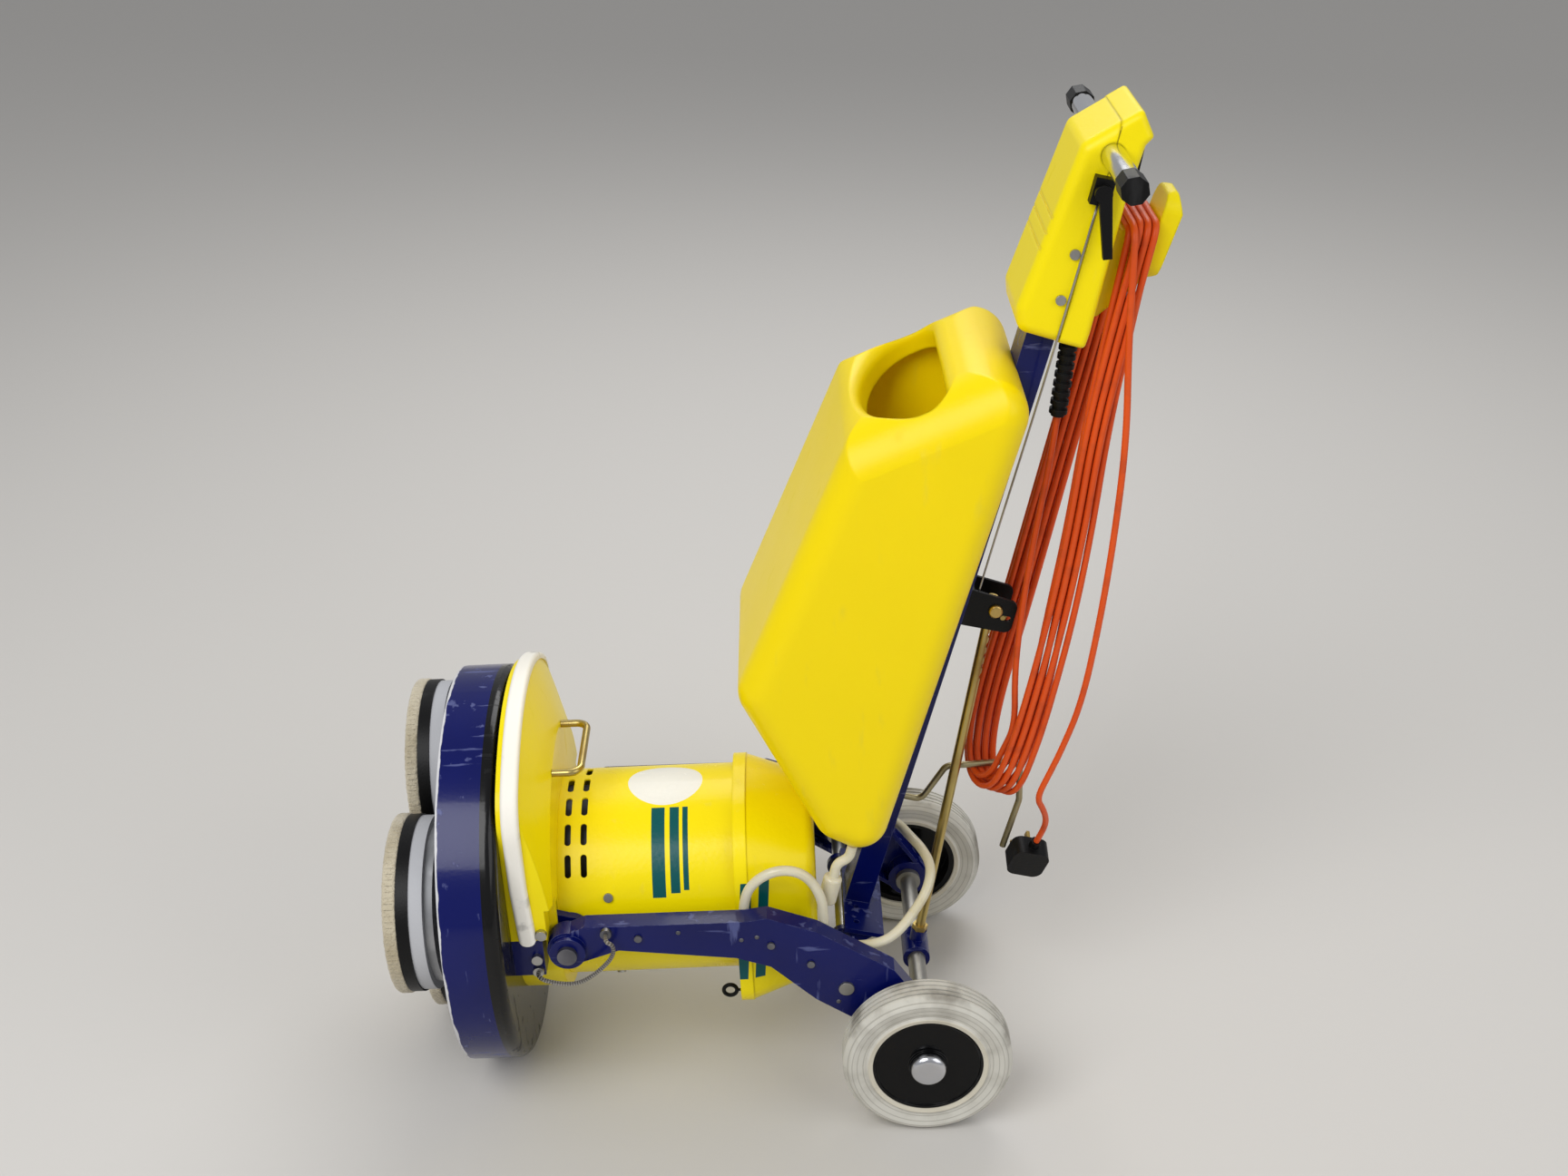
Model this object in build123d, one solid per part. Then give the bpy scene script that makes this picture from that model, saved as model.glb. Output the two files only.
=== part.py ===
from build123d import *
from math import acos, atan2, cos, degrees, pi, radians, sin, sqrt, tan
import os

os.makedirs("parts", exist_ok=True)

# A three-brush floor scrubber, parked with its brush head swung up on edge.
# Millimetres. +X runs from the brushes to the handle, +Y away from the viewer, +Z up.

# Clearances
RUN = 0.05                 # shaft that turns in a hole, radial
SLIP = 0.3                 # pieces that pass or seat beside each other

# Wheels and axle
WHEEL_D = 200.0
TYRE_W = 50.0
TREAD_W = 30.0             # flat part of the tread
TYRE_CROWN = 9.0           # drop from the tread to the shoulder
TYRE_BORE = 130.0
TREAD_GROOVE = 2.5
TREAD_GROOVES = 4
TYRE_BEAD = 5.0            # raised ring by the rim
DISC_IN = 6.0              # wheel disc inside the tyre's side
AXLE_D = 22.0
HUB_D = 44.0
AXLE_CAP_D = 43.0
AXLE_CAP_H = 10.0
WHEEL_GAP = 5.0            # tyre to arm
COLLAR_W = 8.0             # locating collars on the axle and the handle shaft
COLLAR_H = 5.0

# Brush deck
HEAD_LEAN = 2.5            # degrees that the parked head leans away from the handle
DECK_D = 480.0
DECK_DEPTH = 68.0
DECK_WALL = 5.0
DECK_PLATE = 6.0
DECK_SHOULDER = 12.0
DECK_AHEAD = 552.0         # axle to the deck's open edge

# Gear train in the deck
SUN_TEETH = 20
BRUSH_TEETH = 80
GEAR_T = 14.0
GEAR_GAP = 7.5             # gear tips to the deck wall
BACKLASH = 0.5
PRESSURE = radians(20)
BUSH_L = 10.0
BUSH_WALL = 10.0
GEAR_SPACE = 4.0           # axial room beside a gear
GEAR_PLATE_T = 6.0
PLATE_DROP = 8.0           # gear to the closing plate
PILLAR_D = 16.0
PILLAR_R = 200.0

# Brushes
BRUSH_TURN = 76.6          # degrees, place of the first brush round the deck
BRUSH_GAP = 8.5            # between neighbouring pads
SPINDLE_D = 24.0
HUB_DROP = 20.0            # deck edge to the back of a drive plate
HUB_T = 10.0
HUB_INSET = 12.0           # spindle hub inside the pad's edge
DRIVE_T = 16.0
DRIVE_INSET = 3.0
HOLDER_T = 14.0
HOLDER_INSET = 1.0
PAD_T = 15.0

# Base cover and bumper
COVER_RISE = 51.0
COVER_WALL = 4.0
COVER_OVER = 5.0           # beyond the deck's edge
COVER_BAND = 24.0          # upright band under the sloping top
COVER_FLAT_R = 168.0
COVER_CORNER = 60.0
COVER_SIDE_END = 4.0       # where the side skirts end, ahead of the deck's centre
COVER_TAIL_R = 156.0
ARM_NOTCH = 9.0            # step in the cover under the arms
ARM_NOTCH_FRONT = 45.0
BUMPER_T = 8.5
BUMPER_H = 20.0
BUMPER_ROUND = 5.0
BUMPER_LIFT = 6.0          # above the deck
BUMPER_FRONT = 80.0        # where its sides begin to climb
BUMPER_END = 2.0
BUMPER_CLIMB = 4.0

# Motor
MOTOR_COVER_D = 250.0
MOTOR_COVER_L = 222.0
MOTOR_COVER_WALL = 2.5
MOTOR_BACK = 22.0          # cover axis behind the deck axis
VENT_COUNT = 7             # in each row, over the top of the cover
VENT_TURN = 17.5           # degrees between neighbours
VENT_W = 7.5
VENT_L = 27.0
VENT_FIRST = 12.5          # first row above the base cover
VENT_STEP = 19.0
CAP_LIP = 16.0
CAP_LAP = 14.0             # lip over the motor cover
CAP_LIP_OUT = 3.5          # lip outside the motor cover
CAP_BODY_OUT = 2.0
CAP_TOP_IN = 21.0
CAP_H = 80.0
CAP_CORNER = 34.0          # the two corners towards the rear
CAP_ARCH = 105.0           # the two corners towards the front
CAP_DRAW = 9.0             # corners are this much smaller at the cap's end
CAP_WALL = 3.5
CAP_EDGE = 18.0
FRAME_D = 172.0
FRAME_WALL = 6.0
FRAME_H = 208.0
FLANGE_D = 200.0
STATOR_BORE = 105.0
ROTOR_GAP = 1.0
CORE_FROM = 90.0           # stator core above the deck
CORE_L = 85.0
SHAFT_D = 22.0
FAN_D = 140.0
FAN_T = 8.0

# Head pivot, ears and arms
EAR_T = 10.0
EAR_GAP = 2.0              # ear to motor cover
EAR_EDGE = 6.0             # cover left outside the ears
EAR_R = 22.0
PIVOT_RISE = 64.0          # above the deck
PIVOT_BACK = 13.0          # behind the deck's centre
PIVOT_D = 18.0
PIVOT_HEAD_D = 23.0
PIVOT_HEAD_H = 6.0
BOSS_D = 42.0
BOSS_H = 8.0
ARM_T = 24.0
ARM_GAP = 3.0
ARM_WALL = 5.0
ARM_END_R = 24.0
ARM_AXLE_R = 26.0
SPIGOT_W = 16.0

# Lift handle, earth strap and clip
LIFT_ROD = 9.0
LIFT_SPAN = 110.0
LIFT_H = 33.0
LIFT_OUT = 157.0
LIFT_BEND = 14.0
STRAP_D = 5.0
CLIP_R = 8.0
CLIP_WIRE = 5.0
BOLT_D = 13.0
BOLT_H = 6.0
SCREW_D = 11.0
SCREW_H = 3.0

# Handle column. Its frame has x to the rear, z along the column, and the handle shaft at (-COLUMN_BACK, 0).
SHAFT_BACK = 95.0          # handle shaft ahead of the axle
SHAFT_RISE = 75.0          # handle shaft above the axle
HANDLE_SHAFT_D = 18.0
COLUMN_LEAN = 12.05        # degrees, for the casing and its frame
COLUMN_SLANT = 1.7         # degrees that the column itself leans beyond that
COLUMN_CROSS = 530.0       # where the column crosses the frame's axis
COLUMN_BACK = 30.0
COLUMN_W = 50.0
COLUMN_D = 31.0
COLUMN_WALL = 3.0
COLUMN_TOP = 930.0
FOOT_Z = 20.0
FOOT_T = 6.0
FOOT_W = 166.0
LUG_Y = 70.0
LUG_T = 8.0
LUG_R = 16.0

# Lock rod and latch
ROD_LEAN = 8.28            # degrees
ROD_D = 12.0
ROD_L = 512.0              # axle centre to its upper end
ROD_NOTCHES = 7
NOTCH_STEP = 14.0
NOTCH_R = 4.5
COLLAR_L = 44.0
COLLAR_WALL = 6.0
STEM_L = 30.0
BRACKET_Z = 424.0
BRACKET_H = 46.0
BRACKET_OUT = 71.0         # to its rear edge, from the frame's axis
BRACKET_ROUND = 9.0
BRACKET_T = 4.0
BRACKET_IN = 36.0          # room between its side plates
LATCH_X = 58.0
LATCH_Z = 442.0
LATCH_D = 6.0
LATCH_TRAVEL = 6.0
LATCH_COLLAR = 2.5         # collars inside the plates

# Handle casing
CASING_W = 118.0
CASING_WALL = 4.0
FRONT_EDGE = 12.0
REAR_EDGE = 8.0
SEAM_X = 20.0
CASING_FRONT = [(20, 787.5), (-24, 791), (-32, 815), (-13, 994), (20, 1025)]
FRONT_ROUND = 14.0
CASING_REAR = [(20, 787.5), (20, 1025), (37, 1041), (56, 1016), (50, 1006), (47, 947), (51, 803), (50, 786)]
REAR_ROUND = 4.5
GROOVES = [881, 898, 915]
GROOVE_W = 3.0
GRIP_Z = 991.0
GRIP_D = 25.0
GRIP_WALL = 2.0
GRIP_L = 324.0
GRIP_CAP_D = 29.0
GRIP_CAP_L = 32.0
GRIP_CAP_OVER = 8.0
HOOK_W = 48.0                # neck under the cord
PADDLE_W = 62.0
PADDLE_ROUND = 24.0
PADDLE_EDGE = 4.0
HOOK_SIDE = [(38, 806), (43, 917), (59, 910), (92, 917), (96, 940), (110, 930), (108, 880), (60, 815)]
PADDLE_SIDE = [(91, 905), (95, 957), (106, 960), (114, 940), (108, 872), (96, 862)]
TRIGGER_W = 88.0
TRIGGER_SIDE = [(42, 1000), (52, 1001), (54, 968), (46, 961)]
TRIGGER_PIN = (47, 964)
TRIGGER_ROOM = 6.0
LEVER_PIVOT = (17, 956)
LEVER_TIP = (39, 893)
LEVER_T = 8.0
LEVER_PIN_D = 6.0
CLAMP_T = 14.0
CLAMP_W = 20.0
CLAMP_H = 28.0
CABLE_D = 2.4
RELIEF_TOP = (38.5, -20, 789)
RELIEF_END = (51, -20, 696)
RELIEF_D = 20.0
RELIEF_RIBS = 9
LOW_HOOK_D = 8.0
LOW_HOOK_Y = 12.0

# Tank. A channel in its back takes the column.
TANK_SIDE = [(-98, 172), (-233, 335), (-177, 669), (-59.5, 755), (3, 755), (-26, 153)]
TANK_ROUNDS = [34.0, 40.0, 46.0, 46.0, 40.0, 34.0]
TANK_W = 280.0
TANK_WALL = 5.0
TANK_EDGE = 32.0
MOUTH_FROM = 10.0          # from the tank's upper front corner along its sloping face
MOUTH_W = 232.0
MOUTH_L = 94.0
MOUTH_ROUND = 18.0
MOUTH_CORNER = 24.0
SHOULDER = 60.0            # rounding along both sides of the sloping face
MOUTH_DEEP = 34.0
OUTLET_X = -58.0           # where the outlet's stub leaves the tank
VALVE_X = -70.0
VALVE_Y = -115.0
VALVE_D = 12.0
VALVE_L = 47.0
CUP_D = 22.0
CUP_L = 38.0

# Hoses and mains cord
HOSE_D = 12.0
HOSE_WALL = 1.6
CORD_D = 7.5
LOOPS = 8
LOOPS_PER_LAYER = 4
STRAND = 8.0               # pitch of the strands on the saddle
LOW_STRAND = 10.0          # and on the rod hook
SADDLE_X = 64.0
LOW_X = 88.0
HANK_BEND = 15.0
HANK_SAG = 5.0             # lowest part of a loop under its sides' ends
HANK_RISE = 16.0
FAR_RUN = [(300, 38, 1.4), (440, 42, 1.3), (600, 40, 1.2)]
NEAR_RUN = [
    (800, 38, 1.0), (690, 38, 1.1), (580, 37, 1.25), (470, 35, 1.35), (360, 32, 1.4), (290, 26, 1.4),
]
NEAR_BOW = [
    (200, 22), (270, 23), (340, 24), (410, 24), (490, 23), (595, 17), (690, 8), (800, 3), (930, 0),
]
FAR_BOW = [
    (200, -8), (225, -11), (280, -18), (355, -13), (440, -10), (550, -6), (650, -8), (800, -3), (930, 0),
]
PLUG_W = 46.0
PLUG_T = 26.0
PLUG_H = 44.0

# Worked out from those sizes
WHEEL_R = WHEEL_D / 2
DECK_R = DECK_D / 2
DECK_UNDER = DECK_DEPTH - DECK_PLATE
TEETH = SUN_TEETH + BRUSH_TEETH
SPINDLE_R = (DECK_R - DECK_WALL - GEAR_GAP) / (1 + (BRUSH_TEETH + 2) / TEETH)
MODULE = 2 * SPINDLE_R / TEETH
PAD_R = (SPINDLE_R * sqrt(3) - BRUSH_GAP) / 2
GEAR_TOP = DECK_UNDER - BUSH_L - GEAR_SPACE
GEAR_LOW = GEAR_TOP - GEAR_T
PLATE_TOP = GEAR_LOW - PLATE_DROP
PLATE_LOW = PLATE_TOP - GEAR_PLATE_T
DRIVE_TOP = -HUB_DROP
HOLDER_TOP = DRIVE_TOP - DRIVE_T
PAD_TOP = HOLDER_TOP - HOLDER_T
PAD_FACE = PAD_TOP - PAD_T
COVER_TOP = DECK_DEPTH + COVER_RISE
COVER_R = DECK_R + COVER_OVER
MOTOR_R = MOTOR_COVER_D / 2
MOTOR_TOP = COVER_TOP + MOTOR_COVER_L
EAR_IN = MOTOR_R + EAR_GAP
EAR_OUT = EAR_IN + EAR_T
TAIL_HALF = EAR_OUT + EAR_EDGE
ARM_IN = TAIL_HALF + ARM_GAP
ARM_OUT = ARM_IN + ARM_T
COVER_HALF = ARM_OUT + 2.0
PIVOT_A = DECK_DEPTH + PIVOT_RISE
TRACK = 2 * (ARM_OUT + WHEEL_GAP + TYRE_W / 2)
AXLE_HALF = TRACK / 2 + TYRE_W / 2 - 1.0
COLUMN_HALF = COLUMN_D / 2

# The head is built upright, with z away from the floor and x to the front, and then swung up on edge.
lean = radians(HEAD_LEAN)
HEAD_UP = Vector(cos(lean), 0, sin(lean))
HEAD_FRONT = Vector(-sin(lean), 0, cos(lean))
HEAD = Plane(origin=(-DECK_AHEAD, 0, DECK_R * cos(lean)), x_dir=HEAD_FRONT, z_dir=HEAD_UP)

# The handle frame stands on the handle shaft.
tilt = radians(COLUMN_LEAN)
HANDLE_REAR = Vector(cos(tilt), 0, -sin(tilt))
HANDLE_ALONG = Vector(sin(tilt), 0, cos(tilt))
SHAFT_AT = Vector(-SHAFT_BACK, 0, WHEEL_R + SHAFT_RISE)
HANDLE = Plane(origin=SHAFT_AT + HANDLE_REAR * COLUMN_BACK, x_dir=HANDLE_REAR, z_dir=HANDLE_ALONG)

PARTS = {}


def polygon(points):
    return make_face(Polyline(*points, close=True))


def spot(x, z, r):
    return Pos(x, z) * Circle(r)


def slab(outline, y0, y1):
    """A prism of an outline drawn in x and z, from y0 to y1."""
    return extrude(Plane(origin=(0, y1, 0), x_dir=(1, 0, 0), z_dir=(0, -1, 0)) * outline, y1 - y0)


def pair(outline, y0, y1):
    """The same prism on both sides of the middle."""
    return slab(outline, y0, y1) + slab(outline, -y1, -y0)


def drum(r, z0, z1):
    return extrude(Plane.XY.offset(z0) * Circle(r), z1 - z0)


def ring(outer, inner, z0, z1):
    return extrude(Plane.XY.offset(z0) * (Circle(outer) - Circle(inner)), z1 - z0)


def block(x0, x1, y0, y1, z0, z1):
    box = Box(x1 - x0, y1 - y0, z1 - z0)
    return Pos((x0 + x1) / 2, (y0 + y1) / 2, (z0 + z1) / 2) * box


def rod(start, end, r):
    way = Vector(*end) - Vector(*start)
    return extrude(Plane(origin=start, z_dir=way) * Circle(r), way.length)


def corner_radii(points, share=0.45):
    """For each corner, the largest arc that its two runs leave room for."""
    radii = []
    for before, at, after in zip(points, points[1:], points[2:]):
        a = Vector(*at) - Vector(*before)
        b = Vector(*after) - Vector(*at)
        turn = radians(a.get_angle(b))
        radii.append(share * min(a.length, b.length) / tan(turn / 2))
    return radii


def tube(points, radii, r):
    path = FilletPolyline(*points, radius=radii)
    return sweep(Plane(path @ 0, z_dir=path % 0) * Circle(r), path=path)


def hose(points, radii, r, wall):
    path = FilletPolyline(*points, radius=radii)
    return sweep(Plane(path @ 0, z_dir=path % 0) * (Circle(r) - Circle(r - wall)), path=path)


def inv(angle):
    return tan(angle) - angle


def gear_face(teeth, phase):
    """A spur gear's outline, with short chords for its involute flanks."""
    pitch = MODULE * teeth / 2
    base = pitch * cos(PRESSURE)
    half = pi / (2 * teeth) - BACKLASH / (4 * pitch)
    radii = [pitch - 1.25 * MODULE, pitch, pitch + MODULE]
    points = []
    for tooth in range(teeth):
        middle = radians(phase) + 2 * pi * tooth / teeth
        flank = []
        for r in radii:
            angle = acos(min(1.0, base / r))
            flank.append((r, half + inv(PRESSURE) - inv(angle)))
        points += [(r * cos(middle - w), r * sin(middle - w)) for r, w in flank]
        points += [(r * cos(middle + w), r * sin(middle + w)) for r, w in reversed(flank)]
    return polygon(points)


# Wheels

def make_tyre():
    half = TYRE_W / 2
    bore = TYRE_BORE / 2
    tread = TREAD_W / 2
    bead = bore + TYRE_BEAD
    side = [
        (bore, half - 3), (bead, half - 1.5), (bead + 3, half - 4.5), (WHEEL_R - 22, half - 3),
        (WHEEL_R - TYRE_CROWN, half), (WHEEL_R, tread),
    ]
    outline = polygon(side + [(r, -w) for r, w in reversed(side)])
    corners = [v for v in outline.vertices() if v.X > WHEEL_R - TYRE_CROWN - 1]
    outline = fillet(corners, TYRE_CROWN * 0.6)
    solid = revolve(outline, Axis.Y)
    for k in range(TREAD_GROOVES):
        w = tread * ((2 * k + 1) / TREAD_GROOVES - 1)
        cut = Pos(WHEEL_R, w) * Rectangle(2 * TREAD_GROOVE, TREAD_GROOVE)
        solid -= revolve(cut, Axis.Y)
    return solid


def make_wheel():
    half = TYRE_W / 2
    bore = AXLE_D / 2 + RUN
    hub = HUB_D / 2
    rim = TYRE_BORE / 2 - SLIP / 3
    outline = [
        (bore, 2 - half), (hub, 2 - half), (hub, 8), (rim - 7, 8), (rim - 7, 6 - half), (rim, 6 - half),
        (rim, half - 4), (rim - 3, half - 4), (rim - 4, half - DISC_IN), (hub + 1, half - DISC_IN),
        (hub, half - 3), (bore, half - 3),
    ]
    return revolve(polygon(outline), Axis.Y)


for name, side in (("near", -1), ("far", 1)):
    place = Pos(0, side * TRACK / 2, WHEEL_R)
    turn = Rot(0, 0, 180) if side < 0 else Rot(0, 0, 0)
    PARTS["tyre_" + name] = place * turn * make_tyre()
    PARTS["wheel_" + name] = place * turn * make_wheel()


# Axle and its domed push-on caps
axle_spot = spot(0, WHEEL_R, AXLE_D / 2)
axle_collar = spot(0, WHEEL_R, AXLE_D / 2 + COLLAR_H)
PARTS["axle"] = slab(axle_spot, -AXLE_HALF, AXLE_HALF) + pair(axle_collar, ARM_IN - COLLAR_W, ARM_IN)

axle_caps = pair(spot(0, WHEEL_R, AXLE_CAP_D / 2), AXLE_HALF, AXLE_HALF + AXLE_CAP_H)
cap_edges = axle_caps.edges().filter_by(GeomType.CIRCLE).sort_by(Axis.Y)
PARTS["axle_caps"] = fillet([cap_edges[0], cap_edges[-1]], AXLE_CAP_H * 0.8)


# Chassis arms
pivot = HEAD.from_local_coords(Vector(-PIVOT_BACK, 0, PIVOT_A))
PX, PZ = pivot.X, pivot.Z
SX, SZ = SHAFT_AT.X, SHAFT_AT.Z
ARM_TOP = [(PX - 5, PZ + 20), (PX + 20, PZ + 32), (PX + 205, PZ + 39), (PX + 231, PZ + 44)]
ARM_TOP += [(-130, WHEEL_R + 156), (-39, WHEEL_R + 100), (18, WHEEL_R + 19)]
ARM_LOW = [(-8, WHEEL_R - 22), (-91, WHEEL_R + 33), (-130, WHEEL_R + 58), (PX + 236, PZ - 26)]
ARM_LOW += [(PX + 196, PZ - 13), (PX + 59, PZ - 1), (PX + 10, PZ - 20)]
RIVETS = [(PX + 82, PZ + 17), (PX + 236, PZ + 6), (SX - 42, SZ + 36)]
STRAP_LUG = (PX + 45, PZ + 26)
SPIGOTS = [(-121, 205), (-216, 232), (-93, 204)]


def make_arm():
    outline = polygon(ARM_TOP + ARM_LOW) + spot(PX, PZ, ARM_END_R) + spot(0, WHEEL_R, ARM_AXLE_R)
    inside = offset(polygon(ARM_TOP + ARM_LOW), -ARM_WALL)
    arm = slab(outline, ARM_IN, ARM_OUT) - slab(inside, ARM_IN, ARM_OUT - ARM_WALL)
    arm += slab(spot(PX, PZ, ARM_END_R), ARM_IN, ARM_OUT)
    arm += slab(spot(PX, PZ, BOSS_D / 2), ARM_OUT, ARM_OUT + BOSS_H)
    arm += slab(spot(SX, SZ, HANDLE_SHAFT_D), ARM_IN, ARM_OUT)
    arm += slab(spot(0, WHEEL_R, ARM_AXLE_R), ARM_IN, ARM_OUT)
    arm -= slab(spot(PX, PZ, PIVOT_D / 2 + RUN), ARM_IN, ARM_OUT + BOSS_H)
    arm -= slab(spot(SX, SZ, HANDLE_SHAFT_D / 2 + RUN), ARM_IN, ARM_OUT)
    arm -= slab(spot(0, WHEEL_R, AXLE_D / 2 + RUN), ARM_IN, ARM_OUT)
    return arm


far_arm = make_arm()
near_arm = mirror(far_arm, about=Plane.XZ)
for x, z in SPIGOTS:
    near_arm += block(x - SPIGOT_W / 2, x + SPIGOT_W / 2, -ARM_OUT + 1, 8 - ARM_IN + 7, z, z + SPIGOT_W)
PARTS["arm_far"] = far_arm
PARTS["arm_near"] = near_arm

shaft_spot = spot(SX, SZ, HANDLE_SHAFT_D / 2)
shaft_collar = spot(SX, SZ, HANDLE_SHAFT_D / 2 + COLLAR_H)
shaft = slab(shaft_spot, -ARM_OUT - 3, ARM_OUT + 3)
PARTS["handle_shaft"] = shaft + pair(shaft_collar, ARM_IN - COLLAR_W, ARM_IN)

bolts = pair(spot(PX, PZ, PIVOT_D / 2), EAR_IN, ARM_OUT + BOSS_H)
bolts += pair(spot(PX, PZ, PIVOT_HEAD_D / 2), ARM_OUT + BOSS_H, ARM_OUT + BOSS_H + PIVOT_HEAD_H)
for x, z in RIVETS:
    bolts += pair(spot(x, z, SCREW_D / 2 - 1), ARM_OUT, ARM_OUT + SCREW_H)
bolts += slab(spot(*STRAP_LUG, BOLT_D / 2), -ARM_OUT - BOLT_H, -ARM_OUT)
PARTS["chassis_bolts"] = bolts


# Brush deck and the plate that closes its gear case
spindles = []
for k in range(3):
    angle = radians(BRUSH_TURN + 120 * k)
    spindles.append((SPINDLE_R * cos(angle), SPINDLE_R * sin(angle)))


def make_deck():
    pan = drum(DECK_R, 0, DECK_DEPTH)
    pan = fillet(pan.edges().sort_by(Axis.Z)[-1], DECK_SHOULDER)
    pan -= drum(DECK_R - DECK_WALL, 0, DECK_UNDER)
    for x, y in spindles:
        pan += Pos(x, y) * drum(SPINDLE_D / 2 + BUSH_WALL, DECK_UNDER - BUSH_L, DECK_UNDER)
        pan -= Pos(x, y) * drum(SPINDLE_D / 2 + RUN, DECK_UNDER - BUSH_L, DECK_UNDER + 1)
    return pan - drum(SHAFT_D / 2 + 7, DECK_UNDER, DECK_DEPTH)


def make_gear_plate():
    plate = drum(DECK_R - DECK_WALL - 2, PLATE_LOW, PLATE_TOP)
    for k in range(3):
        for side in (-10, 10):
            angle = radians(BRUSH_TURN + 60 + 120 * k + side)
            at = Pos(PILLAR_R * cos(angle), PILLAR_R * sin(angle))
            plate += at * drum(PILLAR_D / 2, PLATE_TOP, DECK_UNDER)
    for x, y in spindles:
        plate += Pos(x, y) * drum(SPINDLE_D / 2 + BUSH_WALL, PLATE_LOW - 4, PLATE_LOW)
        plate -= Pos(x, y) * drum(SPINDLE_D / 2 + RUN, PLATE_LOW - 4, PLATE_TOP)
    return plate


PARTS["brush_deck"] = HEAD * make_deck()
PARTS["gear_plate"] = HEAD * make_gear_plate()


# Brushes: spindle with its gear and hub, drive plate, pad holder, felt pad
for k, (x, y) in enumerate(spindles):
    towards = BRUSH_TURN + 120 * k
    sun_pitch = 360 / SUN_TEETH
    ahead = round(towards / sun_pitch) * sun_pitch - towards
    phase = towards + 180 - ahead * SUN_TEETH / BRUSH_TEETH + 180 / BRUSH_TEETH
    tag = "abc"[k]
    gear = extrude(Plane.XY.offset(GEAR_LOW) * gear_face(BRUSH_TEETH, phase), GEAR_T)
    spindle = gear + drum(SPINDLE_D / 2, DRIVE_TOP, DECK_UNDER + 0.5)
    spindle += drum(PAD_R - HUB_INSET, DRIVE_TOP, DRIVE_TOP + HUB_T)
    spindle += drum(SPINDLE_D / 2 + 8, DRIVE_TOP, PLATE_LOW - 5)
    PARTS["spindle_" + tag] = HEAD * (Pos(x, y) * spindle)
    PARTS["drive_plate_" + tag] = HEAD * (Pos(x, y) * drum(PAD_R - DRIVE_INSET, HOLDER_TOP, DRIVE_TOP))
    PARTS["pad_holder_" + tag] = HEAD * (Pos(x, y) * drum(PAD_R - HOLDER_INSET, PAD_TOP, HOLDER_TOP))
    PARTS["floor_pad_" + tag] = HEAD * (Pos(x, y) * drum(PAD_R, PAD_FACE, PAD_TOP))


# Base cover
def cover_plan(inset):
    r = COVER_R - inset
    half = COVER_HALF - inset
    back = COVER_SIDE_END + inset
    plan = Circle(r) & Pos((r + back) / 2, 0) * Rectangle(r - back, 2 * half)
    front = [v for v in plan.vertices() if v.X > COVER_CORNER]
    return fillet(front, COVER_CORNER - inset)


def cover_form(inset):
    """The cover's outer form, or the hollow inside it."""
    low = DECK_DEPTH - inset
    band = DECK_DEPTH + COVER_BAND - inset
    top = COVER_TOP - inset
    plan = cover_plan(inset)
    form = extrude(Plane.XY.offset(low) * plan, band - low)
    slope = Pos(0, 0, (band + top) / 2) * Cone(COVER_R - inset, COVER_FLAT_R - inset, top - band)
    form += slope & extrude(Plane.XY.offset(band) * plan, top - band)
    notch = top - ARM_NOTCH
    half = TAIL_HALF - inset
    for side in (-1, 1):
        edges = sorted((side * half, side * 2 * COVER_R))
        form -= block(-COVER_R, ARM_NOTCH_FRONT + inset, *edges, notch, top + 1)
    tail = drum(COVER_TAIL_R - inset, low, top)
    form += tail & block(-COVER_R, COVER_R, -half, half, low, top)
    return form


cover = cover_form(0) - cover_form(COVER_WALL)
cover -= drum(FRAME_D / 2 + 1, DECK_DEPTH, COVER_TOP + 1)
ear_slot = (-PIVOT_BACK - EAR_R - 11, -PIVOT_BACK + EAR_R + 22)
for side in (-1, 1):
    edges = sorted((side * (EAR_IN - SLIP), side * (EAR_OUT + SLIP)))
    cover -= block(*ear_slot, *edges, DECK_DEPTH, COVER_TOP + 1)
PARTS["base_cover"] = HEAD * cover


# Bumper: round the front edge, then back along both sides, where it climbs a little
bumper_low = DECK_DEPTH + BUMPER_LIFT
bumper = extrude(Plane.XY.offset(bumper_low) * offset(cover_plan(0), BUMPER_T), BUMPER_H)
bumper_middle = bumper_low + BUMPER_H / 2
level = [e for e in bumper.edges() if abs(e.center().Z - bumper_middle) > 1]
bumper = fillet([e for e in level if e.center().X > COVER_SIDE_END], BUMPER_ROUND)
bumper -= extrude(Plane.XY.offset(bumper_low) * cover_plan(0), BUMPER_H)
bumper &= block(BUMPER_FRONT, 2 * DECK_R, -DECK_R, DECK_R, 0, COVER_TOP)
bumper_run = Vector(BUMPER_END - BUMPER_FRONT, 0, BUMPER_CLIMB)
round_r = BUMPER_H * 0.56
end_x = BUMPER_END + round_r
end_z = bumper_middle + BUMPER_CLIMB
bar_room = spot(end_x, end_z, round_r) + Pos(end_x + DECK_R, end_z) * Rectangle(2 * DECK_R, 2 * BUMPER_H)
bar_room = pair(bar_room, COVER_HALF - 1, COVER_HALF + BUMPER_T + 1)
bar_ends = [f for f in bumper.faces() if abs(f.center().X - BUMPER_FRONT) < 0.01]
for face in bar_ends:
    bumper += extrude(face, bumper_run.length, dir=bumper_run.normalized()) & bar_room
PARTS["bumper"] = HEAD * bumper

# Lift handle
half_lift = LIFT_SPAN / 2
lift_path = [(LIFT_OUT, half_lift, COVER_TOP), (LIFT_OUT, half_lift, COVER_TOP + LIFT_H)]
lift_path += [(LIFT_OUT, -half_lift, COVER_TOP + LIFT_H), (LIFT_OUT, -half_lift, COVER_TOP)]
PARTS["lift_handle"] = HEAD * tube(lift_path, [LIFT_BEND, LIFT_BEND], LIFT_ROD / 2)

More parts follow.
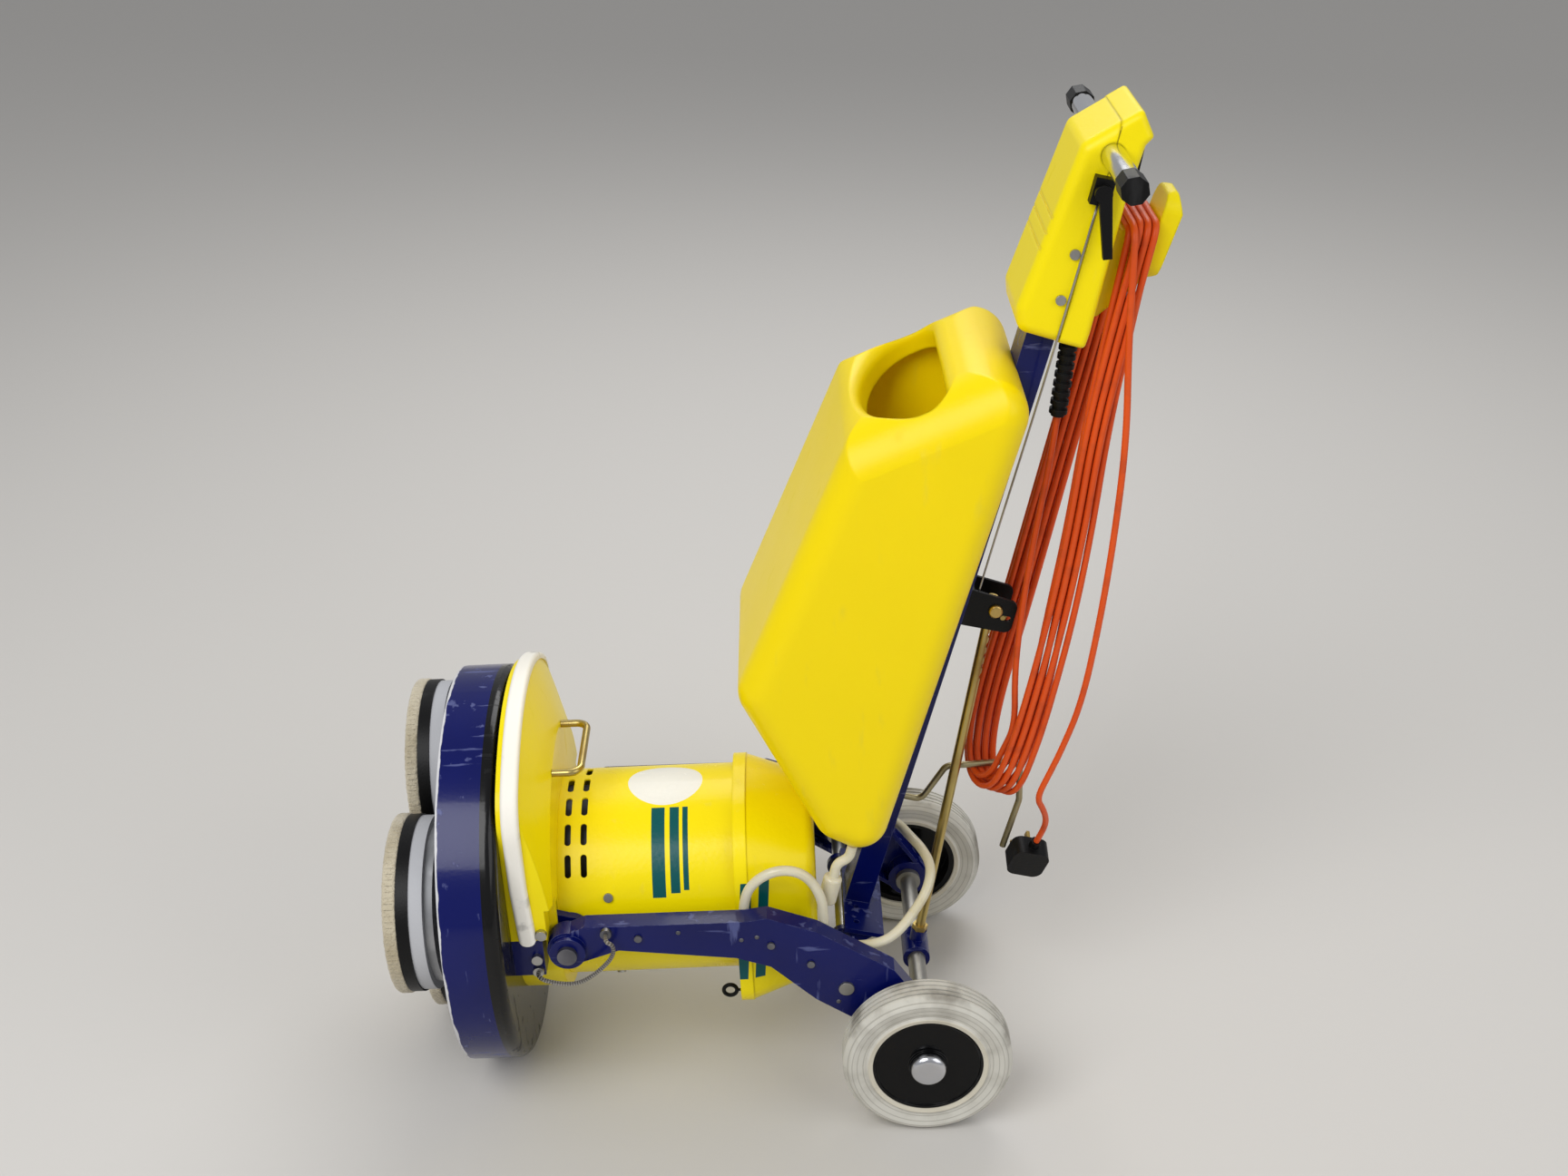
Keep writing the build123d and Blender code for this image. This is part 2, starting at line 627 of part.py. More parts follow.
# Pivot ears, which stand on the deck and come up through the cover, and clamp blocks outside them
foot = (ear_slot[0] + SLIP, ear_slot[1] - SLIP)
ear = polygon([
    (foot[0], DECK_DEPTH), (foot[1], DECK_DEPTH),
    (EAR_R - PIVOT_BACK, PIVOT_A), (-EAR_R - PIVOT_BACK, PIVOT_A),
])
ear = ear + spot(-PIVOT_BACK, PIVOT_A, EAR_R) - spot(-PIVOT_BACK, PIVOT_A, PIVOT_D / 2 + RUN)
ears = pair(ear, EAR_IN, EAR_OUT)
foot_top = DECK_DEPTH + 6
foot_face = polygon([(foot[0], DECK_DEPTH), (foot[1], DECK_DEPTH), (foot[1], foot_top), (foot[0], foot_top)])
ears += pair(foot_face, FLANGE_D / 2 + 5, EAR_IN)
clamp_top = PIVOT_A - ARM_END_R - 4
clamp = [(foot[0], DECK_DEPTH), (COVER_SIDE_END - SLIP, DECK_DEPTH), (COVER_SIDE_END - SLIP, clamp_top)]
ears += pair(polygon(clamp + [(foot[0], clamp_top)]), ARM_IN, COVER_HALF)
PARTS["pivot_ears"] = HEAD * ears


# Motor cover with two rows of vents over its top
def make_motor_cover():
    shell = ring(MOTOR_R, MOTOR_R - MOTOR_COVER_WALL, COVER_TOP, MOTOR_TOP)
    across = Plane(origin=(MOTOR_R - 8, 0, 0), x_dir=(0, 1, 0), z_dir=(1, 0, 0))
    vent = extrude(across * SlotOverall(VENT_L, VENT_W), 12)
    vents = []
    for row in range(2):
        z = COVER_TOP + VENT_FIRST + row * VENT_STEP
        for k in range(VENT_COUNT):
            turn = VENT_TURN * (k - (VENT_COUNT - 1) / 2)
            vents.append(Rot(0, 0, turn) * (Pos(0, 0, z) * vent))
    return Pos(-MOTOR_BACK, 0) * (shell - vents)


PARTS["motor_cover"] = HEAD * make_motor_cover()


# Motor end cap
def cap_plan(half, less, z):
    """A square with two wide corners towards the front and two small ones towards the rear."""
    plan = Rectangle(2 * half, 2 * half)
    plan = fillet([v for v in plan.vertices() if v.X > 0], CAP_ARCH - less)
    plan = fillet([v for v in plan.vertices() if v.X < 0 and abs(v.Y) > half - 1], CAP_CORNER - less)
    return Pos(-MOTOR_BACK, 0, z) * plan


def dome(inset, low):
    """The cap's tapering body, with its end edge rounded."""
    end = MOTOR_TOP + CAP_LIP - CAP_LAP + CAP_H - inset
    base = cap_plan(MOTOR_R + CAP_BODY_OUT - inset, inset, low)
    body = loft([base, cap_plan(MOTOR_R - CAP_TOP_IN - inset, inset + CAP_DRAW, end)])
    return fillet(body.faces().sort_by(Axis.Z)[-1].edges(), CAP_EDGE - inset)


lip_low = MOTOR_TOP - CAP_LAP
end_cap = extrude(cap_plan(MOTOR_R + CAP_LIP_OUT, -2, lip_low), CAP_LIP)
end_cap += dome(0, lip_low + CAP_LIP)
end_cap -= extrude(cap_plan(MOTOR_R + 2 * SLIP, 2, lip_low), CAP_LAP)
end_cap -= Pos(-MOTOR_BACK, 0) * drum(MOTOR_R - 12, MOTOR_TOP, MOTOR_TOP + 2 * CAP_WALL)
end_cap -= dome(CAP_WALL, MOTOR_TOP + CAP_WALL)
PARTS["motor_end_cap"] = HEAD * end_cap

# A cable clip on the lip's edge
clip_y = 88.0
clip_edge = lip_low
corner_c = MOTOR_R + CAP_LIP_OUT - CAP_CORNER - 2
corner_r = CAP_CORNER + 2 - CAP_LIP_OUT / 2
clip_x = -MOTOR_BACK - corner_c - sqrt(corner_r ** 2 - (clip_y - corner_c) ** 2)
clip = Pos(clip_x, clip_y, clip_edge - 7 - CLIP_R) * (Rot(90, 0, 0) * Torus(CLIP_R, CLIP_WIRE / 2))
clip += rod((clip_x, clip_y, clip_edge - 8), (clip_x, clip_y, clip_edge), CAP_LIP_OUT / 2)
PARTS["cap_clip"] = HEAD * clip


# Motor inside
def make_stator():
    low = DECK_DEPTH
    top = low + FRAME_H
    r = FRAME_D / 2
    frame = ring(r, r - FRAME_WALL, low, top)
    frame += ring(FLANGE_D / 2, r - FRAME_WALL - 1, low, low + 6)
    for z in (low + 50, top - 6):
        frame += ring(r - 1, SHAFT_D / 2 + RUN, z, z + 6)
    return frame + ring(r - 1, STATOR_BORE / 2, low + CORE_FROM, low + CORE_FROM + CORE_L)


def make_rotor():
    top = DECK_DEPTH + FRAME_H
    rotor = drum(SHAFT_D / 2, GEAR_LOW, top + 20)
    rotor += extrude(Plane.XY.offset(GEAR_LOW) * gear_face(SUN_TEETH, 0), GEAR_T)
    core = DECK_DEPTH + CORE_FROM
    rotor += drum(STATOR_BORE / 2 - ROTOR_GAP, core - 2, core + CORE_L + 2)
    return rotor + drum(FAN_D / 2, top + 8, top + 8 + FAN_T)


PARTS["stator"] = HEAD * make_stator()
PARTS["rotor"] = HEAD * make_rotor()


# Screws round the motor cover and bolts behind the bumper's ends
def radial_screw(angle, z):
    out = Vector(cos(radians(angle)), sin(radians(angle)), 0)
    centre = Vector(-MOTOR_BACK, 0, z)
    return rod(centre + out * MOTOR_R, centre + out * (MOTOR_R + SCREW_H), SCREW_D / 2)


head_bolts = None
for angle in (70, -70, 150, -150):
    screw = radial_screw(angle, COVER_TOP + 59)
    head_bolts = screw if head_bolts is None else head_bolts + screw
CLAMP_BOLTS = [(14, DECK_DEPTH + 36), (-21, DECK_DEPTH + 28), (-38, DECK_DEPTH + 28)]
for x, z in CLAMP_BOLTS:
    head_bolts += pair(spot(x, z, BOLT_D / 2), COVER_HALF, COVER_HALF + BOLT_H)
PARTS["head_bolts"] = HEAD * head_bolts

# Braided earth strap from the lower clamp bolt, under the boss, to the lug on the near arm
lug = HEAD.to_local_coords(Vector(STRAP_LUG[0], -ARM_OUT - BOLT_H, STRAP_LUG[1]))
strap_y = COVER_HALF + BOLT_H + STRAP_D / 2
strap_out = strap_y + 8
strap_x, strap_z = CLAMP_BOLTS[-1]
STRAP_ROUTE = [
    (strap_x, strap_y - STRAP_D / 2, strap_z), (strap_x, strap_out, strap_z),
    (strap_x - 9, strap_out, PIVOT_A - 12), (strap_x - 10, strap_out, PIVOT_A + 12),
    (strap_x + 6, strap_out, PIVOT_A + 35), (lug.X - 22, strap_out, lug.Z + 8),
    (lug.X - 5, strap_out, lug.Z + 10), (lug.X, strap_out, lug.Z), (lug.X, lug.Y, lug.Z),
]
PARTS["earth_strap"] = HEAD * tube(STRAP_ROUTE, corner_radii(STRAP_ROUTE), STRAP_D / 2)


# Handle column on its cross foot
slant = radians(COLUMN_SLANT)
column_way = (sin(slant), 0, cos(slant))
COLUMN = Plane(origin=(0, 0, COLUMN_CROSS), x_dir=(cos(slant), 0, -sin(slant)), z_dir=column_way)


def column_face(z):
    """The column's rear face at a height in the handle's frame."""
    return COLUMN_HALF / cos(slant) + (z - COLUMN_CROSS) * tan(slant)


def column_room(grow, low, top, beyond_rear=0):
    """The column's outside between two heights, grown on all sides, and further to the rear."""
    half = COLUMN_W / 2 + grow
    front, rear = -COLUMN_HALF - grow, COLUMN_HALF + grow + beyond_rear
    return COLUMN * block(front, rear, -half, half, low - COLUMN_CROSS, top - COLUMN_CROSS)


def make_column():
    column = column_room(0, -COLUMN_D, COLUMN_TOP)
    inner = COLUMN_HALF - COLUMN_WALL
    half = COLUMN_W / 2 - COLUMN_WALL
    column -= COLUMN * block(-inner, inner, -half, half, -2 * COLUMN_CROSS, COLUMN_TOP)
    column -= block(-200, 200, -COLUMN_W, COLUMN_W, -200, FOOT_Z)
    foot_front = column_face(0) - COLUMN_D - 2
    column += block(foot_front, COLUMN_HALF, -FOOT_W / 2, FOOT_W / 2, FOOT_Z - FOOT_T, FOOT_Z)
    lug = polygon([(-COLUMN_BACK, FOOT_Z - 1), (12, FOOT_Z - 1), (-COLUMN_BACK + 8, 1 - LUG_R)])
    lug = lug + spot(-COLUMN_BACK, 0, LUG_R)
    column += pair(lug & Pos(0, FOOT_Z - 51) * Rectangle(400, 100), LUG_Y, LUG_Y + LUG_T)
    for y in (36, 66):
        for side in (-1, 1):
            column -= Pos(-18, side * y) * drum(3.5, FOOT_Z - FOOT_T, FOOT_Z)
    return column - pair(spot(-COLUMN_BACK, 0, HANDLE_SHAFT_D / 2 + RUN), LUG_Y, LUG_Y + LUG_T)


PARTS["handle_column"] = HANDLE * make_column()

# Latch bracket behind the column
plate_in = BRACKET_IN / 2
plate_out = plate_in + BRACKET_T
bracket_top = BRACKET_Z + BRACKET_H
face_low = column_face(BRACKET_Z)
face_top = column_face(bracket_top)
cheek = polygon([
    (face_low, BRACKET_Z), (BRACKET_OUT, BRACKET_Z), (BRACKET_OUT, bracket_top - 6), (face_top, bracket_top),
])
cheek = fillet([v for v in cheek.vertices() if v.X > BRACKET_OUT - 1], BRACKET_ROUND)
slot_w = LATCH_D + 2 * SLIP
slot = Pos(LATCH_X + LATCH_TRAVEL / 2, LATCH_Z) * SlotOverall(LATCH_TRAVEL + slot_w, slot_w)
bracket = pair(cheek - slot, plate_in, plate_out)
web = [(face_low, BRACKET_Z), (face_low + BRACKET_T, BRACKET_Z), (face_top + BRACKET_T, bracket_top)]
bracket += slab(polygon(web + [(face_top, bracket_top)]), -plate_out, plate_out)
PARTS["latch_bracket"] = HANDLE * bracket
latch_pin = slab(spot(LATCH_X, LATCH_Z, LATCH_D / 2), -plate_out, plate_out)
collar_in = plate_in - SLIP - LATCH_COLLAR
latch_pin += pair(spot(LATCH_X, LATCH_Z, LATCH_D / 2 + 2), collar_in, collar_in + LATCH_COLLAR)
PARTS["latch_pin"] = HANDLE * latch_pin

# Lock rod on its axle collar, with notches to the rear
rod_tilt = radians(ROD_LEAN)
ROD_REAR = Vector(cos(rod_tilt), 0, -sin(rod_tilt))
ROD_ALONG = Vector(sin(rod_tilt), 0, cos(rod_tilt))
ROD = Plane(origin=(0, 0, WHEEL_R), x_dir=ROD_REAR, z_dir=ROD_ALONG)
collar_r = AXLE_D / 2 + COLLAR_WALL
collar = slab(spot(0, 0, collar_r), -COLLAR_L / 2, COLLAR_L / 2)
collar += drum(ROD_D / 2 + 4, 0, STEM_L)
collar -= slab(spot(0, 0, AXLE_D / 2 + RUN), -COLLAR_L / 2, COLLAR_L / 2)
PARTS["rod_collar"] = ROD * collar
lock_rod = drum(ROD_D / 2, STEM_L, ROD_L)
lock_rod += extrude(Plane.XY.offset(STEM_L) * RegularPolygon(ROD_D / 2 + 4, 6), 7)
for k in range(ROD_NOTCHES):
    z = ROD_L - 22 - k * NOTCH_STEP
    lock_rod -= slab(spot(ROD_D / 2 + NOTCH_R / 3, z, NOTCH_R), -ROD_D, ROD_D)
PARTS["lock_rod"] = ROD * lock_rod


# Handle casing in two shells
casing_half = CASING_W / 2
grip_bore = spot(SEAM_X, GRIP_Z, GRIP_D / 2 + SLIP / 2)


def shell(outline, hollow, rounding, edge):
    """One half of the casing, rounded everywhere but at the seam."""
    face = polygon(outline)
    face = fillet([v for v in face.vertices() if abs(v.X - SEAM_X) > 0.1], rounding)
    solid = slab(face, -casing_half, casing_half)
    ends = [e for f in solid.faces().filter_by(Axis.Y) for e in f.edges()]
    solid = fillet([e for e in ends if abs(e.center().X - SEAM_X) > 0.1], edge)
    room = slab(hollow, CASING_WALL - casing_half, casing_half - CASING_WALL)
    sides = [e for f in room.faces().filter_by(Axis.Y) for e in f.edges()]
    room = fillet([e for e in sides if abs(e.center().X - SEAM_X) > 0.1], edge - CASING_WALL)
    solid -= room
    return solid - slab(grip_bore, -casing_half, casing_half)


front_hollow = offset(polygon(CASING_FRONT), -CASING_WALL, kind=Kind.INTERSECTION)
front_hollow = front_hollow + Pos(SEAM_X - 4, 905) * Rectangle(8, 200)
front_hollow = fillet([v for v in front_hollow.vertices() if v.X < SEAM_X - 8], FRONT_ROUND - CASING_WALL)
casing_front = shell(CASING_FRONT, front_hollow, FRONT_ROUND, FRONT_EDGE)
column_space = column_room(SLIP, 700, COLUMN_TOP + SLIP)
casing_front -= column_space
(face_x, face_z), (over_x, over_z) = CASING_FRONT[2:4]
face_way = (over_x - face_x) / (over_z - face_z)
for z in GROOVES:
    groove = Rot(0, 6, 0) * Box(GROOVE_W, CASING_W, GROOVE_W)
    casing_front -= Pos(face_x + face_way * (z - face_z), 0, z) * groove

rear_hollow = polygon([(SEAM_X, 792), (SEAM_X, 950), (42, 945), (36, 800)])
casing_rear = shell(CASING_REAR, rear_hollow, REAR_ROUND, REAR_EDGE) - column_space
trigger_room = polygon([(42 - TRIGGER_ROOM, 1003), (60, 1004), (60, 957), (42 - TRIGGER_ROOM, 957)])
casing_rear -= slab(trigger_room, -TRIGGER_W / 2 - 1, TRIGGER_W / 2 + 1)
casing_rear += slab(polygon(HOOK_SIDE), -HOOK_W / 2, HOOK_W / 2)
paddle = slab(fillet(polygon(PADDLE_SIDE).vertices(), PADDLE_EDGE), -PADDLE_W / 2, PADDLE_W / 2)
paddle_low, paddle_top = (f(z for x, z in PADDLE_SIDE) for f in (min, max))
tongue = RectangleRounded(PADDLE_W, paddle_top - paddle_low, PADDLE_ROUND)
tongue = Plane(origin=(0, 0, (paddle_low + paddle_top) / 2), x_dir=(0, 1, 0), z_dir=(1, 0, 0)) * tongue
casing_rear += paddle & extrude(tongue, 200)
trigger = slab(polygon(TRIGGER_SIDE), -TRIGGER_W / 2, TRIGGER_W / 2)
trigger_pin = spot(*TRIGGER_PIN, 2.5)
trigger += slab(trigger_pin, -TRIGGER_W / 2 - 6, TRIGGER_W / 2 + 6)
casing_rear -= slab(spot(*TRIGGER_PIN, 2.5 + RUN), -TRIGGER_W / 2 - 6.5, TRIGGER_W / 2 + 6.5)
PARTS["switch_trigger"] = HANDLE * trigger

# Strain relief in the casing's floor
relief_run = Vector(*RELIEF_END) - Vector(*RELIEF_TOP)
RELIEF_L = relief_run.length
RELIEF_WAY = relief_run.normalized()
RELIEF = Plane(origin=RELIEF_TOP, z_dir=RELIEF_WAY)
relief = drum(RELIEF_D / 2 - 2.5, -6, RELIEF_L)
rib_step = RELIEF_L / RELIEF_RIBS
for k in range(RELIEF_RIBS):
    relief += drum(RELIEF_D / 2, k * rib_step + 2, (k + 0.5) * rib_step + 2)
relief += drum(RELIEF_D / 2, -8, 4)
relief_room = RELIEF * drum(RELIEF_D / 2 + SLIP, -9, RELIEF_L)
casing_front -= relief_room
casing_rear -= relief_room
PARTS["strain_relief"] = HANDLE * (RELIEF * relief)
PARTS["casing_front"] = HANDLE * casing_front
PARTS["casing_rear"] = HANDLE * casing_rear

# Grip bar through both shells, with its end caps
grip_half = GRIP_L / 2
grip = spot(SEAM_X, GRIP_Z, GRIP_D / 2) - spot(SEAM_X, GRIP_Z, GRIP_D / 2 - GRIP_WALL)
PARTS["grip_bar"] = HANDLE * slab(grip, -grip_half, grip_half)
octagon = Pos(SEAM_X, GRIP_Z) * RegularPolygon(GRIP_CAP_D / 2, 8)
caps = pair(octagon, grip_half - GRIP_CAP_OVER, grip_half - GRIP_CAP_OVER + GRIP_CAP_L)
caps -= pair(spot(SEAM_X, GRIP_Z, GRIP_D / 2 + SLIP / 3), grip_half - GRIP_CAP_OVER, grip_half)
PARTS["grip_caps"] = HANDLE * caps

# Release lever on its clamp, and the cable down to the latch
lx, lz = LEVER_PIVOT
clamp_y = -casing_half - CLAMP_T
clamp = block(lx - CLAMP_W / 2, lx + CLAMP_W / 2, clamp_y, -casing_half, lz - CLAMP_H / 2, lz + CLAMP_H / 2)
clamp -= slab(spot(lx, lz, LEVER_PIN_D / 2 + RUN), clamp_y, clamp_y + CLAMP_T - 3)
PARTS["lever_clamp"] = HANDLE * clamp
tx, tz = LEVER_TIP
blade = polygon([(lx - 7, lz + 4), (lx + 7, lz + 6), (tx + 5, tz + 1), (tx - 4, tz - 2)])
blade = blade + spot(lx, lz, 9)
lever = slab(blade, clamp_y - SLIP - LEVER_T, clamp_y - SLIP)
lever += slab(spot(lx, lz, LEVER_PIN_D / 2), clamp_y - SLIP, clamp_y + CLAMP_T - 4)
PARTS["release_lever"] = HANDLE * lever
cable_y = -casing_half - 6
cable_end = -plate_in - BRACKET_T / 2
CABLE_ROUTE = [
    (lx, cable_y, lz - CLAMP_H / 2), (lx, cable_y, 786),
    (face_top + 9, cable_end, bracket_top + 40), (face_top + 9, cable_end, bracket_top),
]
PARTS["release_cable"] = HANDLE * tube(CABLE_ROUTE, [60.0, 60.0], CABLE_D / 2)

screws = None
for x, z in ((14.5, 885), (13.5, 835)):
    heads = pair(spot(x - 4, z, SCREW_D / 2), casing_half, casing_half + SCREW_H)
    screws = heads if screws is None else screws + heads
PARTS["casing_screws"] = HANDLE * screws

# Rod hook for the cord
LOW_HOOK = [(column_face(161) + SLIP / 2, 161), (34, 160), (52, 213), (138, 239), (152, 184), (150, 113)]
hook_route = [(x, LOW_HOOK_Y, z) for x, z in LOW_HOOK]
PARTS["lower_hook"] = HANDLE * tube(hook_route, [12, 12, 13, 20], LOW_HOOK_D / 2)


# Solution tank
slope_from, slope_to = (Vector(x, 0, z) for x, z in TANK_SIDE[2:4])
slope_way = (slope_to - slope_from).normalized()
slope_up = Vector(-slope_way.Z, 0, slope_way.X)


def tank_form(inset):
    outline = polygon(TANK_SIDE)
    if inset:
        outline = offset(outline, -inset, kind=Kind.INTERSECTION)
    for (x, z), rounding in zip(TANK_SIDE, TANK_ROUNDS):
        corner = min(outline.vertices(), key=lambda v: (v.X - x) ** 2 + (v.Y - z) ** 2)
        outline = fillet(corner, rounding - inset)
    half = TANK_W / 2 - inset
    form = slab(outline, -half, half)
    ends = form.faces().filter_by(Axis.Y)
    form = fillet([e for f in ends for e in f.edges()], TANK_EDGE - inset)
    across = Plane(origin=slope_from - slope_way * TANK_W, x_dir=(0, 1, 0), z_dir=slope_way)
    arch = Pos(0, -inset - 2 * TANK_W) * Rectangle(2 * half + 3, 4 * TANK_W)
    arch = fillet([v for v in arch.vertices() if v.Y > -TANK_W], SHOULDER - inset)
    return form & extrude(across * arch, 4 * TANK_W)


mouth_middle = slope_from + slope_way * (MOUTH_FROM + MOUTH_L / 2)


def mouth_air(grow, deep):
    """The D-shaped mouth's open space under a rounded brim, with its straight edge towards the column."""
    bow = MOUTH_L - 30 + grow
    middle = MOUTH_L / 2 - 30
    half = MOUTH_W / 2 + grow
    plan = Pos(middle + 15 + grow / 2, 0) * Rectangle(30 + grow, 2 * half)
    oval = Pos(middle, 0) * Ellipse(bow, half)
    plan += oval & Pos(middle - bow / 2, 0) * Rectangle(bow, 2 * half)
    plan = fillet([v for v in plan.vertices() if v.X > middle + 29 + grow], MOUTH_CORNER + grow)
    top = Plane(origin=mouth_middle - slope_up * grow, x_dir=slope_way, z_dir=slope_up)
    below = grow - deep
    plate = extrude(top * Rectangle(4 * MOUTH_L, 4 * MOUTH_W), below)
    rim = plate - extrude(top * plan, below)
    upper = max(rim.faces(), key=lambda f: (f.center() - mouth_middle).dot(slope_up))
    rim = fillet(upper.inner_wires()[0].edges(), MOUTH_ROUND - grow)
    return plate - rim


def tank_channel(grow):
    return column_room(SLIP + grow, -COLUMN_TOP, 2 * COLUMN_TOP, TANK_W)


cavity = tank_form(TANK_WALL) - tank_channel(TANK_WALL) - mouth_air(TANK_WALL, MOUTH_DEEP)
tank = tank_form(0) - tank_channel(0) - cavity - mouth_air(0, MOUTH_DEEP + 3)
PARTS["tank"] = HANDLE * tank

# Outlet cup under the tank, on a bent stub
tank_fall = (TANK_SIDE[5][1] - TANK_SIDE[0][1]) / (TANK_SIDE[5][0] - TANK_SIDE[0][0])
tank_low = tank.bounding_box().min.Z
cup_top = tank_low - VALVE_L
cup = drum(CUP_D / 2, cup_top - CUP_L, cup_top)
cup = fillet(cup.edges().filter_by(GeomType.CIRCLE), CUP_D / 5)
STUB_ROUTE = [
    (VALVE_X, 0, cup_top - 6), (VALVE_X, 0, cup_top + 18),
    (OUTLET_X, 0, tank_low - 18), (OUTLET_X, 0, tank_low - SLIP / 3),
]
valve = Pos(VALVE_X, 0) * cup + tube(STUB_ROUTE, [16, 16], VALVE_D / 2)
PARTS["outlet_valve"] = HANDLE * (Pos(0, VALVE_Y) * valve)

# Hoses: an arch along the near arm, and a loop from the tank round the column to that arm
hose_y = -ARM_IN + SPIGOT_W / 2
FEED_ROUTE = [
    (-121, hose_y, 221), (-121, hose_y, 254), (-126, hose_y, 288), (-144, hose_y, 316), (-172, hose_y, 323),
    (-199, hose_y, 310), (-216, hose_y, 284), (-216, hose_y, 248),
]
PARTS["feed_hose"] = hose(FEED_ROUTE, corner_radii(FEED_ROUTE), HOSE_D / 2, HOSE_WALL)
spigot_x, spigot_z = SPIGOTS[2]
spigot_side = spigot_x + SPIGOT_W / 2
spigot_mid = spigot_z + SPIGOT_W / 2
hose_end = HANDLE.to_local_coords(Vector(spigot_side + SLIP, hose_y, spigot_mid))
hose_in = HANDLE.to_local_coords(Vector(spigot_side + 26, hose_y, spigot_mid + 1))
hose_top = TANK_SIDE[5][1] - tank_fall * (TANK_SIDE[5][0] + 62)
DRAIN_ROUTE = [
    (-62, 46, hose_top), (-62, 46, hose_top - 18), (-50, 45, hose_top - 40),
    (-24, 44, 112), (2, 41, 108),
    (20, 24, 110), (29, -4, 115), (42, -30, 118), (54, -56, 112), (52, -80, 94), (38, -100, 70), (20, -122, 52),
    (hose_in.X, hose_in.Y, hose_in.Z), (hose_end.X, hose_end.Y, hose_end.Z),
]
PARTS["drain_hose"] = HANDLE * hose(DRAIN_ROUTE, corner_radii(DRAIN_ROUTE), HOSE_D / 2, HOSE_WALL)


# Mains cord. Its hank hangs from the saddle, goes under the rod hook and comes up behind.
def saddle_z(x):
    a, b = HOOK_SIDE[2], HOOK_SIDE[3]
    return a[1] + (x - a[0]) * (b[1] - a[1]) / (b[0] - a[0]) + CORD_D / 2 + SLIP


def low_z(x):
    a, b = LOW_HOOK[2], LOW_HOOK[3]
    return a[1] + (x - a[0]) * (b[1] - a[1]) / (b[0] - a[0]) - LOW_HOOK_D / 2 - CORD_D / 2 - 2.5


def between(table, z):
    """A value read off a table of heights."""
    for (z0, v0), (z1, v1) in zip(table, table[1:]):
        if z <= z1:
            return v0 + (v1 - v0) * (z - z0) / (z1 - z0)
    return table[-1][1]


def bowed(x, y, z):
    """The bundles lean out: the near one to the rear, the far one a little to the front."""
    near = min(1.0, max(0.0, 0.5 - y / 60))
    return (x + near * between(NEAR_BOW, z) + (1 - near) * between(FAR_BOW, z), y, z)


def hank_points():
    """Each loop goes under the rod hook, up the far side, over the saddle and down the near side."""
    points = []
    for i in range(LOOPS):
        layer = i // LOOPS_PER_LAYER
        place = i if layer == 0 else 2 * LOOPS_PER_LAYER - 1 - i
        out = STRAND * layer
        low_x = LOW_X + LOW_STRAND * place
        top_x = SADDLE_X + STRAND * place
        low = low_z(LOW_X) - 2 * SLIP - place - 1.4 * out
        top = saddle_z(top_x) + out
        top_y = HOOK_W / 2 + HANK_BEND - 1.5 + out
        rise = low + HANK_RISE
        points += [bowed(low_x, -14 - 1.35 * out, rise), bowed(low_x, 8, low - HANK_SAG)]
        points += [bowed(low_x, 30 + 1.35 * out, rise)]
        for z, y, spread in FAR_RUN:
            share = (z - rise) / (top - rise)
            points += [bowed(low_x + (top_x - low_x) * share, y + spread * out, z)]
        if i == LOOPS - 1:
            points += [(top_x, top_y, top), (top_x, -top_y - 11, top)]
            break
        points += [(top_x, top_y, top), (top_x, -top_y, top)]
        # Down the near side the outer layer steps forward first, then the last inner strand moves out,
        # and then the inner layer steps to the rear.
        climbs = i == LOOPS_PER_LAYER - 1
        step = 0 if climbs else (1, -1)[layer]
        for z, y, spread in NEAR_RUN:
            moved = min(1.0, (930 - z) / 240) if layer else min(1.0, max(0.0, (470 - z) / 180))
            climbed = min(1.0, max(0.0, (690 - z) / 220)) if climbs else layer
            share = (z - rise) / (top - rise)
            at = place + step * moved
            x = (LOW_X + LOW_STRAND * at) * (1 - share) + (SADDLE_X + STRAND * at) * share
            points += [bowed(x, -y - spread * STRAND * climbed, z)]
    return points


CORD_R = CORD_D / 2
HANK_START = (104, -22, 266)
HANK_END = (158, -52, 262)
LAST_RUN = [
    (93, -60, 800), (121, -63, 699), (141, -65, 584), (155, -65, 481), (166, -61, 375), (163, -55, 305),
]
hank_route = [HANK_START] + hank_points() + LAST_RUN + [HANK_END]
hank_radii = []
for before, at, after in zip(hank_route, hank_route[1:], hank_route[2:]):
    way_in = Vector(*at) - Vector(*before)
    way_out = Vector(*after) - Vector(*at)
    bend = way_in.get_angle(way_out)
    room = 0.45 * min(way_in.length, way_out.length) / tan(radians(max(bend, 0.5)) / 2)
    hank_radii.append(HANK_BEND if bend > 80 else min(room, 400.0))
hank_path = FilletPolyline(*hank_route, radius=hank_radii)
hank = sweep(Plane(hank_path @ 0, z_dir=hank_path % 0) * Circle(CORD_R), path=hank_path)
PARTS["cord_hank"] = HANDLE * hank


def least_gap(path, r):
    """The least clear distance between stretches of a tube that are well apart along it."""
    step = 2.0
    places = []
    run = 0.0
    for edge in path.edges():
        count = max(1, round(edge.length / step))
        for k in range(count):
            at = edge @ ((k + 0.5) / count)
            places.append((run + edge.length * (k + 0.5) / count, at.X, at.Y, at.Z))
        run += edge.length
    cell = 4 * r
    cells = {}
    for place in places:
        cells.setdefault(tuple(int(v // cell) for v in place[1:]), []).append(place)
    least = cell
    for s, x, y, z in places:
        i, j, k = (int(v // cell) for v in (x, y, z))
        for key in [(i + a, j + b, k + c) for a in (-1, 0, 1) for b in (-1, 0, 1) for c in (-1, 0, 1)]:
            for s2, x2, y2, z2 in cells.get(key, []):
                if s2 - s > 12 * r:
                    least = min(least, sqrt((x - x2) ** 2 + (y - y2) ** 2 + (z - z2) ** 2))
    return least - 2 * r


